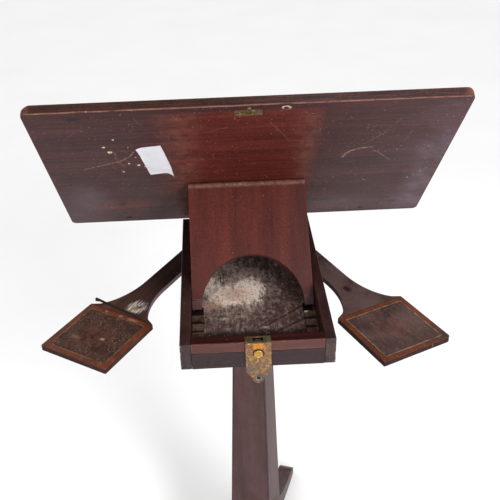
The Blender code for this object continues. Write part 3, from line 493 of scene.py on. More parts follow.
def top_material():
    """The top: dark outside, redder where the tray has covered it, with splashes and scratches, and a painted
    bluish sheen toward its ends.
    """
    low, high = local_box("table_top", TOP)
    paint = Wood("top_mahogany", TOP, 0, stripe=210.0, sheen=0.14)
    reach = paint.y * -1.0
    across = abs(paint.x)
    under = paint.z.fade(0.0045, 0.0012)
    flat = paint.ragged(paint.flat_place((1.0, -1.0, 0.0)), 0.004, 180.0)
    ragged_x = paint.grime * 0.012 + paint.x
    edge_right = ragged_x.fade(0.115, 0.09) * 0.75 + paint.x.fade(0.1085, 0.105) * 0.25
    covered = paint.x.fade(-0.15, -0.084) * edge_right * reach.fade(0.364, 0.356) * under
    upper = paint.z.fade(0.01, 0.0136)
    paint.colour = paint.mix(upper, paint.grain(MAHOGANY, 0.15), paint.grain(UPPER_MAHOGANY))
    paint.over(paint.grain(RED_MAHOGANY), covered)
    rim_dust = covered * across.fade(0.055, 0.1) * paint.grime.fade(0.3, 0.7) * 0.38
    paint.over((112, 74, 62), rim_dust)
    red_streak = paint.spot(flat, (-0.205, 0.066), (0.095, 0.034), 1.0) * 0.55
    paint.over((98, 48, 38), red_streak, paint.grime.fade(0.34, 0.56))
    # Painted sheen: a bluish-grey haze on the right part and the lower left corner of the underside, in place
    # of reflected light
    bloom = paint.largest(paint.x.fade(0.15, 0.3) * paint.patches.fade(0.36, 0.62),
                          paint.x.fade(-0.2, -0.28) * reach.fade(0.16, 0.06))
    paint.over(HAZE_AND_SHEEN, bloom, under, 0.15)
    # Spots of painted cool sheen, strongest near the ends of the underside
    cool_sheen = paint.spots(flat, COOL_SHEEN_SPOTS, 1.0)
    paint.over((142, 134, 148), cool_sheen, under, paint.patches.fade(0.1, 0.58), paint.grime.fade(0.1, 0.72), 0.27)
    paint.over((22, 18, 24), paint.spots(flat, STAINS, 0.9), under, 0.85)
    splashes, lines = top_marks(paint, flat)
    paint.over(SCRATCH, lines, under)
    paint.over(PAINT, splashes, under)
    top_edge(paint, low, high, across, reach)
    roughness = upper * -0.14 + paint.polish(0.52, 0.22)
    return paint.finish(roughness, paint.relief)


def prop_material():
    """The prop: red mahogany with broad upright stripes, a dusty bead, painted shade on its right part and a
    pale band of painted light at its feet.
    """
    low, high = local_box("prop_board", PROP)
    paint = Wood("prop_mahogany", PROP, 1, stripe=70.0, shift=2.0)
    paint.colour = paint.grain(PROP_WOOD, 0.18)
    pits = paint.noise((820.0, 360.0, 820.0), 2.0, 0.6).fade(0.48, 0.66)
    paint.over(PROP_WOOD[0], pits, 0.72)
    greyed = paint.y.fade(low.y * 0.4, low.y) * paint.patches.fade(0.3, 0.7) * 0.35
    paint.over((78, 50, 46), greyed)
    # Painted shade, darkening the right part of the prop
    paint.over((62, 40, 37), paint.x.fade(0.02, 0.09), 0.3)
    bead = paint.y.fade(-0.0062, -0.0035)
    paint.over((112, 80, 66), bead, paint.grime.fade(0.25, 0.6), 0.7)
    chips = paint.y.fade(-0.034, -0.012) * paint.specks(0.0024, 4500.0)
    paint.over(DUST, paint.largest(chips, paint.specks(0.0015, 700.0)), 0.7)
    # Painted light: a pale bluish band at the feet, as light on a bevel at their ends
    lit_toe = paint.y.fade(low.y + 0.0165, low.y + 0.015) * paint.z.fade(-0.001, 0.001)
    paint.over((84, 66, 66), lit_toe, 0.5)
    paint.over(BARE_WOOD, paint.worn_edge(low, high, 0.0018), 0.3)
    return paint.finish(paint.polish(0.55, 0.2), paint.relief)


def board_material(name, node, group, axis, palette, dust=0.25, edge=0.35, gloss=0.52, shift=0.0):
    """A plain old board: grain, grime, dust on its upper face and worn arrises."""
    low, high = local_box(node, group)
    paint = Wood(name, group, axis, shift=shift)
    paint.colour = paint.grain(palette)
    paint.over(palette[0], paint.patches.fade(0.5, 0.75), 0.35)
    settled = paint.upward() * paint.grime.fade(0.42, 0.72) * dust
    paint.over(DUST, settled)
    paint.over(PAINT, paint.specks(0.0015, 1600.0), dust)
    paint.over(BARE_WOOD, paint.worn_edge(low, high, 0.0018), edge)
    return paint.finish(paint.polish(gloss, 0.25), paint.relief)


def side_material(side, sign):
    """A tray side: dark red inside, dull outside, with a scraped near end."""
    low, high = local_box(side, TRAY)
    paint = Wood(side + "_wood", TRAY, 1, stripe=170.0, shift=4.0 + sign)
    paint.colour = paint.grain(TRAY_WOOD)
    outer = high.x if sign > 0 else low.x
    depth = abs(paint.x - outer)
    inside = depth.fade(0.006, 0.012) * paint.grime.fade(0.35, 0.7) * 0.5
    paint.over((62, 24, 20), inside)
    rim = paint.upward() * paint.patches.fade(0.3, 0.7) * 0.42
    paint.over((80, 54, 49), rim)
    near_end = paint.y.fade(low.y + 0.0018, low.y + 0.0006)
    paint.over(paint.ramp(paint.grime, LOCK_WOOD, 0.3, 0.7), near_end)
    if sign > 0:
        brown = near_end * paint.patches.fade(0.3, 0.6) * paint.z.fade(-0.04, -0.012) * 0.8
        paint.over((70, 50, 43), brown)
        scrapes = paint.noise((420.0, 60.0, 160.0), 3.0, 0.7).fade(0.6, 0.68)
        paint.over(DUST, near_end, scrapes, 0.45)
    to_outer = depth.fade(0.0022, 0.0004)
    chips = near_end * to_outer * paint.noise((260.0, 60.0, 260.0), 3.0, 0.7).fade(0.5, 0.6)
    paint.over(CRUMBS, chips, 0.8)
    paint.over(DUST, paint.specks(0.0017, 9000.0), 0.55)
    on_rim = paint.z.fade(-0.003, -0.001)
    paint.over((98, 62, 50), paint.worn_edge(low, high, 0.0016), on_rim, 0.35)
    return paint.finish(paint.polish(0.52, 0.2), paint.relief)


def lock_rail_material():
    """The lock rail: a dull grey face under a dark red rim."""
    low, _ = local_box("lock_rail", TRAY)
    paint = Wood("lock_rail_wood", TRAY, 0, stripe=200.0, shift=6.0, sheen=0.12)
    slant = paint.noise((120.0, 90.0, 320.0), 3.0, 0.6, 0.8)
    paint.colour = paint.mix(slant.fade(0.35, 0.7) * 0.4, paint.grain(LOCK_WOOD), (52, 41, 45))
    rim = paint.largest(paint.z.fade(-0.0012, -0.0003), paint.y.fade(low.y + 0.004, low.y + 0.008))
    rim_tone = paint.ramp(paint.tone, ((22, 7, 6), (40, 12, 10), (66, 24, 19)), 0.38, 0.62)
    paint.over(rim_tone, rim)
    paint.over(DUST, paint.specks(0.0015, 3000.0), 0.6)
    return paint.finish(paint.polish(0.55, 0.2), paint.relief)


def floor_material():
    """The tray's floor: bare board under grey dust, palest left of the middle in painted light, in painted
    shade by the walls.
    """
    low, high = local_box("tray_floor", TRAY)
    paint = Wood("tray_floor_wood", TRAY, 1, stripe=220.0, shift=8.0)
    flat = paint.flat_place()
    cloud = paint.noise((44.0, 34.0, 44.0), 9.0, 0.78, 0.4, 2.0)
    hairs = paint.noise((210.0, 44.0, 210.0), 4.0, 0.7, 0.5)
    grit = paint.noise((170.0, 105.0, 170.0), 4.0, 0.75, 0.3, 4.0)
    paint.colour = paint.grain(FLOOR_WOOD)
    reach = paint.spot(flat, (-0.034, -0.004), (0.104, 0.106), 1.0)
    field = cloud * 0.62 + reach * 0.4 + hairs * 0.75 + grit * 0.75
    paint.over((170, 150, 140), field.fade(0.96, 1.34), 0.72)
    loose = paint.ragged(flat, 0.026, 42.0)
    # Pale dust, brightest where a pool of light falling under the arch is painted in
    pale = paint.spots(loose, FLOOR_PALE_AND_LIT, 1.0) * 0.56 + field
    paint.over((252, 232, 216), pale.fade(1.32, 1.74))
    warm = paint.spots(loose, FLOOR_WARM, 1.0) * grit.fade(0.3, 0.56) * 0.85
    paint.over((204, 158, 132), warm)
    fine = paint.noise((440.0, 250.0, 440.0), 3.0, 0.7, 0.0, 9.0)
    paint.over((112, 91, 83), fine.fade(0.5, 0.62), 0.5)
    paint.over((112, 84, 70), paint.specks(0.0024, 45000.0), 0.28)
    blots = paint.noise((56.0, 34.0, 56.0), 9.0, 0.82, 0.6, 5.0)
    # Dark blots of soot, and spots of soot and painted shadow, the arch's shadow at the far side and the right
    # among them
    soot_and_shadow = paint.largest(blots.fade(0.48, 0.6) * 0.6, paint.spots(loose, FLOOR_SOOT_AND_SHADOW, 0.9))
    paint.over((46, 37, 38), soot_and_shadow, hairs.fade(0.58, 0.44), grit.fade(0.66, 0.44), 0.95)
    chalk = paint.spots(paint.ragged(flat, 0.007, 240.0), FLOOR_CHALK, 0.8)
    paint.over((214, 194, 180), chalk, 0.75)
    # Painted shade in a brown tone, growing toward the right and the near side
    shade = paint.y * -0.45 + paint.x
    shade_to_right = shade.fade(0.004, 0.056) * grit.fade(0.7, 0.36) * 0.9
    paint.over((68, 41, 36), shade_to_right)
    near = paint.y.fade(-0.04, -0.064) * grit.fade(0.62, 0.38) * 0.6
    paint.over((76, 54, 47), near)
    # Each painted shadow edge is a dark line, with a paler line of painted light beside it
    for start, end in FLOOR_SHADOW_EDGES:
        line = paint.stroke(flat, (start, end), 0.0034) * hairs.fade(0.25, 0.5) * 0.8
        paint.over((30, 19, 17), line)
        lit_beside = [(x + 0.003, y - 0.0042) for x, y in (start, end)]
        line = paint.stroke(flat, lit_beside, 0.0044) * hairs.fade(0.3, 0.6) * 0.4
        paint.over((128, 98, 84), line)
    # Painted shade on the floor along the side walls and in a band at the near rail
    wall_shade = paint.largest(paint.x.fade(low.x + 0.016, low.x + 0.006),
                         paint.x.fade(high.x - 0.016, high.x - 0.006),
                         paint.y.fade(low.y + 0.064, low.y + 0.052))
    paint.over(PAINTED_SHADE, wall_shade, paint.grime.fade(0.1, 0.5), 0.85)
    paint.over(CRUMBS, paint.specks(0.0015, 24000.0), 0.65)
    return paint.finish(0.85, grit, 0.0006, 0.6)


def ratchet_material(node):
    """A ratchet strip: brown wood, with painted shade down in the notches. The right one is rubbed and chipped.
    """
    low, high = local_box(node, TRAY)
    paint = Wood(node + "_wood", TRAY, 0, stripe=300.0, shift=9.0, sheen=0.1)
    paint.colour = paint.grain(((46, 31, 27), (74, 53, 46), (104, 79, 68)), 0.16)
    settled = paint.upward() * paint.grime.fade(0.4, 0.65) * 0.25
    paint.over(DUST, settled)
    paint.over((40, 28, 25), paint.grime.fade(0.52, 0.36), 0.5)
    # Painted shade in the valleys of the notches
    ragged_z = paint.grime * 0.0012 + paint.z
    notch_shade = ragged_z.fade(low.z + 0.0037, low.z + 0.003)
    paint.over(PAINTED_SHADE, notch_shade, 0.93)
    paint.over(CRUMBS, paint.specks(0.0018, 9000.0), 0.6)
    if node == "right_ratchet":
        flat = paint.ragged(paint.flat_place(), 0.003, 300.0)
        rubbed = paint.x.fade(high.x - 0.003, high.x - 0.0014) * paint.grime.fade(0.3, 0.5)
        paint.over((118, 82, 64), rubbed, 0.6)
        chip = paint.spot(flat, (0.08, -0.0715), (0.0042, 0.0024), 0.5)
        paint.over((232, 214, 186), chip, 0.9)
    return paint.finish(0.7, paint.relief)


def arm_material(side, group, haze, scuffs):
    """A candle arm: dark, with a film of haze and torn or rubbed patches; on the left one, painted shade toward
    the tray and a painted highlight on the neck's sides.
    """
    paint = Wood(side + "_arm_wood", group, 1, shift=10.0 if side == "left" else 12.0, sheen=0.02)
    plain = paint.flat_place((1.0, -1.0, 0.0))
    flat = paint.ragged(plain, 0.007, 150.0)
    combs = paint.noise((560.0, 14.0, 560.0), 3.0, 0.7) - 0.5
    spiky = paint.vector("ADD", plain, paint.vector("SCALE", (0.0, 1.0, 0.0), scale=combs * 0.055))
    paint.colour = paint.grain(NECK_WOOD if side == "left" else ARM_WOOD, 0.15)
    film = paint.upward() * paint.patches.fade(0.25, 0.7) * haze
    paint.over((112, 90, 88), film)
    if side == "left":
        # Painted shade on the left arm, darkening toward the tray
        paint.over((26, 13, 12), paint.y.fade(-0.165, -0.1), 0.6)
    torn = paint.noise((520.0, 60.0, 520.0), 4.0, 0.75).fade(0.4, 0.56)
    for centre, radii, tone, streaky in scuffs:
        patch = paint.spot(spiky if streaky else flat, centre, radii, 0.5 if streaky else 0.8)
        if streaky:
            patch = patch * torn * paint.y.fade(-0.216, -0.21)
        paint.over(tone, patch, paint.upward(), 0.95)
    paint.over(DUST, paint.specks(0.0015, 5000.0), paint.upward(), 0.6)
    if side == "left":
        # Painted highlight: the sides of the left neck made pale, as where light falls on them
        lit_neck_sides = paint.z.fade(-0.0008, -0.002) * paint.y.fade(-0.224, -0.214)
        paint.over((128, 108, 112), lit_neck_sides, 0.7)
    else:
        chip = paint.spot(flat, (0.026, 0.3452), (0.0013, 0.003), 0.5)
        paint.over(CRUMBS, chip, 0.6)
    paddle_side = paint.z.fade(-0.0008, -0.002) * paint.y.fade(-0.216, -0.224)
    paint.over(paint.ramp(paint.grime, ((34, 23, 23), (62, 42, 41)), 0.3, 0.7), paddle_side, 0.8)
    return paint.finish(paint.polish(0.5, 0.2), paint.relief)


def banding_material(side, group):
    """Crossbanding: its grain runs square to each edge of the paddle, under dirt and old polish."""
    low, high = local_box(side + "_arm_banding", group)
    paint = Wood(side + "_arm_banding_wood", group, 0, stripe=260.0, shift=14.0)
    ends = paint.noise(along_axis(1, 9.0, 260.0), 3.0, 0.6, 0.3)
    to_side = high.x - abs(paint.x)
    to_end = paint.smallest(paint.y - low.y, high.y - paint.y)
    on_end = (to_side - to_end).fade(-0.0002, 0.0002)
    paint.colour = paint.mix(on_end, paint.grain(BAND_WOOD, 0.2), paint.ramp(ends, BAND_WOOD, 0.22, 0.78))
    dirt = paint.largest(paint.grime.fade(0.48, 0.66), paint.patches.fade(0.52, 0.66))
    paint.over((66, 38, 26), dirt, 0.6)
    border = paint.smallest(to_side, to_end)
    outer = border.fade(0.002, 0.0004) * paint.grime.fade(0.3, 0.55) * 0.6
    paint.over((58, 36, 30), outer)
    if side == "right":
        paint.over((50, 34, 29), paint.x.fade(0.02, 0.055), paint.y.fade(-0.3, -0.335), 0.8)
    else:
        rough = paint.ragged(paint.flat_place(), 0.006, 240.0)
        chips = paint.largest(*[paint.spot(rough, (x, high.y - 0.005), (half, 0.004), 0.8)
                                for x, half in ((0.026, 0.015), (0.003, 0.006), (-0.024, 0.004))])
        paint.over((176, 130, 100), chips, 0.7)
    paint.over(CRUMBS, paint.specks(0.0016, 6000.0), 0.6)
    return paint.finish(paint.polish(0.5, 0.2), paint.relief)


def stringing_material(side, group):
    """The pale line between banding and panel, broken by dirt."""
    paint = Wood(side + "_arm_stringing_wood", group, 0, shift=16.0)
    paint.colour = paint.grain(((86, 70, 55), (124, 105, 84), (152, 132, 108)))
    if side == "right":
        paint.over((184, 164, 146), 0.4)
    paint.over((66, 48, 36), paint.grime.fade(0.42, 0.6), 0.75)
    return paint.finish(0.55, paint.relief)


def panel_material(side, group, film, specks):
    """A paddle's panel: dark veneer under gritty dust, redder where it is rubbed."""
    paint = Wood(side + "_arm_panel_wood", group, 1, stripe=130.0, shift=18.0 if side == "left" else 21.0,
                 sheen=0.1)
    flat = paint.ragged(paint.flat_place((1.0, -1.0, 0.0)), 0.02, 60.0)
    paint.colour = paint.grain(PANEL_WOOD if side == "left" else DUSTY_PANEL_WOOD, 0.15)
    paint.over((108, 83, 80), paint.patches.fade(0.2, 0.7), film)
    rub = paint.spot(flat, (0.004, 0.29), (0.04, 0.034), 0.9)
    paint.over((108, 60, 46), rub, paint.grime.fade(0.3, 0.6), 0.55)
    gritty = paint.noise(620.0, 3.0, 0.75).fade(0.47, 0.62)
    dusty = gritty * paint.grime.fade(0.34, 0.6) * 0.5
    paint.over((140, 100, 78) if side == "left" else (130, 102, 96), dusty)
    scrapes = paint.noise((420.0, 60.0, 420.0), 3.0, 0.7, 0.5, 6.0).fade(0.58, 0.66)
    paint.over((150, 116, 98), scrapes, 0.4)
    dark = 0.45 if side == "left" else 0.18
    paint.over((30, 21, 18), paint.patches.fade(0.5, 0.36), dark)
    if side == "left":
        patch = paint.largest(paint.spot(flat, (0.016, 0.291), (0.006, 0.005), 0.7),
                              paint.spot(flat, (-0.028, 0.303), (0.01, 0.008), 0.9) * 0.35)
        paint.over((176, 150, 122), patch, 0.7)
    else:
        outer = paint.y.fade(-0.284, -0.328) * paint.patches.fade(0.2, 0.6) * 0.5
        paint.over((48, 35, 35), outer)
        hair = paint.noise((1300.0, 44.0, 1300.0), 3.0, 0.7, 0.8, 2.0).fade(0.55, 0.64)
        paint.over((152, 124, 112), hair, 0.3)
    crumbs = paint.largest(paint.specks(0.0009, specks * 2.4) * 0.5,
                           paint.specks(0.0014, specks * 0.35) * 0.7)
    paint.over((194, 156, 124), crumbs)
    return paint.finish(paint.polish(0.6, 0.2), gritty, 0.0002, 0.4)


def column_material():
    """The column: close, even mahogany with a waxed bloom and a dark line down each corner."""
    paint = Wood("column_wood", BASE, 2, stripe=110.0, shift=24.0)
    paint.colour = paint.grain(COLUMN_WOOD)
    paint.over(HAZE_AND_SHEEN, paint.patches.fade(0.35, 0.7), 0.12)
    low, high = local_box("column", BASE)
    taper = (high.x - half_side_at_top("column")) / (high.z - low.z)
    half = paint.z * -taper + (high.x + taper * low.z)
    corner = paint.smallest(abs(paint.x), abs(paint.y))
    near = (half - corner).fade(0.003, 0.0012)
    paint.over((34, 19, 19), near, paint.grime.fade(0.25, 0.5), 0.6)
    return paint.finish(paint.polish(0.5, 0.12), paint.relief)


def half_side_at_top(node):
    """Half the side of a tapered solid at its top."""
    points = [BASE.inverted() @ vertex.co for vertex in NODES[node].data.vertices]
    top = max(point.z for point in points)
    return max(point.x for point in points if point.z > top - 1e-5)


def brass_material(name, group, tarnish=0.5, gold=(196, 142, 62)):
    """Old brass: golden where it is clean, brown, green and sooty elsewhere."""
    paint = Surface(name, group)
    mottle = paint.noise(240.0, 5.0, 0.7, 0.6)
    fine = paint.noise(900.0, 3.0, 0.65)
    blotch = paint.noise(95.0, 4.0, 0.65, 0.4, 3.0)
    brown = mottle.fade(0.66 - 0.3 * tarnish, 0.78 - 0.22 * tarnish)
    green = blotch.fade(0.7 - 0.22 * tarnish, 0.8 - 0.18 * tarnish)
    dark = paint.noise(420.0, 3.0, 0.6, 0.3, 9.0).fade(0.6, 0.68)
    paint.colour = paint.mix(brown * 0.85, gold, (108, 70, 38))
    paint.over((112, 106, 84), green, 0.7)
    paint.over((40, 27, 18), dark, 0.85)
    dull = paint.largest(brown * 0.5, green, dark)
    metallic = dull * -0.75 + 0.9
    roughness = dull * 0.3 + 0.36
    return paint.finish(roughness, fine - dull, 0.0003, 0.45, metallic)


def catch_material():
    """The catch plate: golden only above the button, brown below, green on the flange, grey at the tip."""
    paint = Surface("catch_brass", TRAY)
    face = paint.upright_place()
    rough_face = paint.ragged(face, 0.008, 140.0)
    mottle = paint.noise(260.0, 6.0, 0.8, 0.5)
    blotch = paint.noise(120.0, 6.0, 0.75, 0.6, 3.0)
    grains = paint.noise(560.0, 3.0, 0.7)
    tone = blotch * 0.3 + mottle * 0.35 + grains * 0.35
    paint.colour = paint.ramp(tone, ((52, 34, 21), (110, 77, 43), (172, 130, 78)), 0.4, 0.6)
    specks = paint.noise(640.0, 2.0, 0.6, 0.0, 6.0).fade(0.6, 0.66)
    paint.over((44, 28, 18), specks, 0.8)
    red = paint.z.fade(-0.024, -0.006) * mottle.fade(0.6, 0.46) * 0.45
    paint.over((112, 64, 40), red)
    grey = paint.z.fade(-0.03, -0.04) * blotch.fade(0.56, 0.48)
    grey = paint.largest(grey, paint.noise(150.0, 4.0, 0.7, 0.5, 8.0).fade(0.59, 0.66))
    paint.over((78, 64, 56), grey, 0.55)
    shadow = paint.x.fade(-0.017, -0.0182)
    paint.over((26, 18, 13), shadow, 0.8)
    flange = paint.z.fade(-0.0012, -0.0004)
    green = paint.ramp(tone, ((34, 26, 17), (84, 70, 44), (146, 134, 102)), 0.4, 0.62)
    paint.over(green, flange)
    wander = blotch * 0.006 + abs(paint.x)
    between = paint.z.fade(-0.013, -0.0115) * paint.z.fade(-0.0006, -0.0022)
    rubbed = wander.fade(0.0106, 0.0088) * between * mottle.fade(0.3, 0.48)
    paint.over((176, 116, 44), rubbed, 0.9)
    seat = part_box("catch_button")
    centre = (0.0, (seat[0].z + seat[1].z) / 2 - RIM)
    radius = (seat[1].x - seat[0].x) / 2
    # Painted shade: a dark ring in the gap around the button
    ring = paint.spot(face, centre, (radius + 0.0014, radius + 0.0014), 0.1)
    paint.over((28, 18, 10), ring, 0.9)
    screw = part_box("catch_screw")
    tip = (0.0, (screw[0].z + screw[1].z) / 2 - RIM)
    dirty = paint.spot(rough_face, tip, (0.009, 0.009), 0.4)
    paint.over((58, 48, 40), dirty, 0.8)
    rim = paint.spot(face, tip, (0.0052, 0.0052), 0.2)
    paint.over((112, 114, 100), rim, 0.75)
    clean = rubbed * 0.5 + 0.3
    pitted = grains * 0.5 - mottle.fade(0.55, 0.4)
    return paint.finish(rubbed * -0.2 + 0.6, pitted, 0.0004, 0.5, clean)


def button_material():
    """The button: handled brass, with painted shade on its rim where it meets the plate."""
    paint = Surface("button_brass", TRAY)
    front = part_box("catch_button")[0].y
    mottle = paint.noise(420.0, 4.0, 0.7, 0.4)
    paint.colour = paint.ramp(mottle, ((100, 74, 34), (152, 114, 54), (202, 162, 92)), 0.36, 0.64)
    # Painted shade on the rim of the button, in the gap at the plate
    rim = paint.y.fade(front + 0.0007, front + 0.0016)
    paint.over((26, 17, 9), rim, 0.92)
    metallic = rim * -0.7 + 0.8
    roughness = mottle * 0.3 + 0.25
    return paint.finish(roughness, mottle, 0.0002, 0.4, metallic)


def steel_material(name, brightness):
    """Dark steel with rust brown in its pits."""
    paint = Surface(name)
    pits = paint.noise(700.0, 4.0, 0.7).fade(0.45, 0.66)
    clean = (0.17 * brightness, 0.15 * brightness, 0.125 * brightness, 1.0)
    rust = (0.07 * brightness, 0.03 * brightness, 0.016 * brightness, 1.0)
    paint.colour = paint.mix(pits * 0.8, clean, rust)
    roughness = pits * 0.35 + 0.34
    metallic = pits * -0.7 + 0.95
    return paint.finish(roughness, pits, 0.0002, 0.4, metallic)


def paper_material():
    """Plain paper with faint fibres and faint soiled patches."""
    paint = Surface("slip_paper", TOP)
    fibres = paint.noise(900.0, 4.0, 0.7)
    stain = paint.noise(45.0, 3.0).fade(0.45, 0.75)
    paint.colour = paint.mix(stain * 0.25, (246, 246, 250), (226, 222, 222))
    return paint.finish(0.8, fibres, 0.0001, 0.3)


WELD = 1e-6
FLAT_ANGLE = math.radians(1.0)
ARRIS_ANGLE = math.radians(40)
SHORTEST_ARRIS = 0.003
KNOCK_REACH = 0.014

# Broad patches and small dents of wear, as (share of the depth, count per metre)
WEAR = ((0.65, 55.0), (0.35, 230.0))

# The paper slip on the underside of the top, in the top's frame
SLIP_SIZE = (0.037, 0.090)
SLIP_CENTRE = (-0.1380, -0.2275, -0.0003)
SLIP_TURN = math.radians(-8.5)
SLIP_STEPS = (8, 18)
SLIP_THICKNESS = 0.00015

# The loose strip of veneer at the left paddle, in the arm's frame
SLIVER_ENDS = (Vector((-0.0605, -0.2108, 0.0)), Vector((0.052, -0.2255, 0.0)))
SLIVER_WIDTH = 0.0046
SLIVER_HEIGHT = 0.0024
SLIVER_CLEARANCE = 0.0002
SLIVER_BOW = 0.0010
SLIVER_DROOP = 0.0030
SLIVER_STEPS = 24

# A screw's slot, as shares of its head
SLOT_DEPTH = 0.22
SLOT_LENGTH = 1.2
SLOT_WIDTH = 0.14


def split_by_planes(shape, group, spacing):
    """Cuts a solid's faces across at even stations along each axis of its group's frame."""
    spacing = spacing if isinstance(spacing, tuple) else (spacing,) * 3
    back = group.inverted()
    points = [back @ vertex.co for vertex in shape.verts]
    for axis in range(3):
        low = min(p[axis] for p in points)
        high = max(p[axis] for p in points)
        count = round((high - low) / spacing[axis])
        way = group.to_3x3().col[axis]
        for i in range(1, count):
            station = Vector((0, 0, 0))
            station[axis] = low + (high - low) * (i + 0.03) / (count + 0.06)
            everything = list(shape.verts) + list(shape.edges) + list(shape.faces)
            bmesh.ops.bisect_plane(shape, geom=everything, dist=1e-5, plane_co=group @ station, plane_no=way)


def wear_arrises(shape, rounded, depth, seed):
    """Sinks the rounded arrises unevenly and leaves the flat faces flat."""
    moves = []
    for vertex in shape.verts:
        round_faces = [face for face in vertex.link_faces if face in rounded]
        if not round_faces:
            continue
        push = -sum((face.normal for face in round_faces), Vector()).normalized()
        for face in vertex.link_faces:
            if face not in rounded:
                push -= push.dot(face.normal) * face.normal
        place = vertex.co + Vector((seed, 0, 0))
        amount = sum(share * max(0.0, noise.noise(place * count)) for share, count in WEAR)
        moves.append((vertex, push * amount * depth))
    for vertex, move in moves:
        vertex.co += move


def add_piece(name, shape, body, material):
    """A new piece of the table, made from a mesh in its resting place."""
    mesh = bpy.data.meshes.new(name)
    shape.to_mesh(mesh)
    shape.free()
    mesh.shade_smooth()
    mesh.set_sharp_from_angle(angle=ARRIS_ANGLE)
    mesh.materials.append(material)
    piece = bpy.data.objects.new(name, mesh)
    bpy.context.scene.collection.objects.link(piece)
    even = piece.modifiers.new("even normals", "WEIGHTED_NORMAL")
    even.keep_sharp = True
    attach(piece, body)
    return piece


def knock_corners(shape, group, corners):
    """Wears upper corners back, given as (x, y, amount) in the group's frame, most at the upper face."""
    back = group.inverted()
    places = [back @ vertex.co for vertex in shape.verts]
    low = min(place.z for place in places)
    thick = max(place.z for place in places) - low
    for vertex, place in zip(shape.verts, places):
        for x, y, amount in corners:
            away = math.hypot(place.x - x, place.y - y) / KNOCK_REACH
            if away >= 1.0:
                continue
            inward = Vector((-math.copysign(1.0, x), -0.45 * math.copysign(1.0, y), 0.0))
            height = (place.z - low) / thick
            place += inward * amount * height ** 4 * (1 - away * away) ** 2
        vertex.co = group @ place


def is_flush(edge, back, flush):
    """Whether an edge lies where the piece meets its neighbour."""
    if flush is None:
        return False
    axis, distance = flush
    return all(abs(abs((back @ vertex.co)[axis]) - distance) < 1e-4 for vertex in edge.verts)


def blunt_corners(shape, back, corners):
    """Rounds upright edges, which are given as (x, y, radius) in the group's frame."""
    for x, y, radius in corners:
        edges = []
        for edge in shape.edges:
            ends = [back @ vertex.co for vertex in edge.verts]
            if all(math.hypot(end.x - x, end.y - y) < 1e-4 for end in ends):
                edges.append(edge)
        bmesh.ops.bevel(shape, geom=edges, offset=radius, segments=4, profile=0.5, affect="EDGES")


def worn_piece(node, group, material, width, depth, spacing=0.013, flush=None, corners=(), knocked=()):
    """Stands for a solid, with its arrises rounded and unevenly worn, save those flush with a neighbour."""
    back = group.inverted()
    shape = bmesh.new()
    shape.from_mesh(NODES[node].data)
    bmesh.ops.remove_doubles(shape, verts=shape.verts, dist=WELD)
    bmesh.ops.dissolve_limit(shape, angle_limit=FLAT_ANGLE, verts=shape.verts, edges=shape.edges)
    blunt_corners(shape, back, corners)
    split_by_planes(shape, group, spacing)
    arrises = [edge for edge in shape.edges
               if edge.is_manifold and edge.is_convex and edge.calc_length() > SHORTEST_ARRIS
               and edge.calc_face_angle(0.0) > ARRIS_ANGLE and not is_flush(edge, back, flush)]
    rounded = set()
    if width and arrises:
        made = bmesh.ops.bevel(shape, geom=arrises, offset=width, segments=2, profile=0.5, affect="EDGES",
                               clamp_overlap=True)
        rounded = set(made["faces"])
    shape.normal_update()
    wear_arrises(shape, rounded, depth, len(node))
    knock_corners(shape, group, knocked)
    piece = add_piece(node + "_worn", shape, NODES[node]["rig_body"], material)
    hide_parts(node)
    return piece


def paint_node(node, material):
    """Gives a solid that shows as it is a better material."""
    for slot in NODES[node].material_slots:
        slot.material = material


def paper_slip():
    """A blank slip of paper stuck to the underside, with one corner lifting."""
    width, length = SLIP_SIZE
    across, along = SLIP_STEPS
    stuck = TOP @ Matrix.Translation(SLIP_CENTRE) @ Matrix.Rotation(SLIP_TURN, 4, "Z")
    shape = bmesh.new()
    rows = []
    for j in range(along + 1):
        row = []
        for i in range(across + 1):
            u, v = i / across - 0.5, j / along - 0.5
            lift = 0.05 * max(0.0, u - v - 0.62) ** 2 + 0.03 * max(0.0, v - u - 0.72) ** 2
            lift += 0.0003 * math.sin(7 * v + 3 * u) ** 2
            row.append(shape.verts.new(stuck @ Vector((u * width, -v * length, -lift))))
        rows.append(row)
    for j in range(along):
        for i in range(across):
            shape.faces.new((rows[j][i], rows[j + 1][i], rows[j + 1][i + 1], rows[j][i + 1]))
    bmesh.ops.solidify(shape, geom=list(shape.faces), thickness=SLIP_THICKNESS)
    bmesh.ops.recalc_face_normals(shape, faces=shape.faces)
    add_piece("paper_slip", shape, "top", paper_material())


def sliver_material():
    """The loose strip: dark on its sides, with a rubbed upper edge."""
    paint = Wood("sliver_wood", LEFT_ARM, 0, stripe=400.0, shift=44.0, sheen=0.04)
    paint.colour = paint.grain(((28, 16, 13), (46, 28, 23), (66, 42, 34)))
    ridge = paint.upward() * paint.grime.fade(0.35, 0.6) * 0.3
    paint.over((74, 48, 40), ridge)
    return paint.finish(0.6, paint.relief)


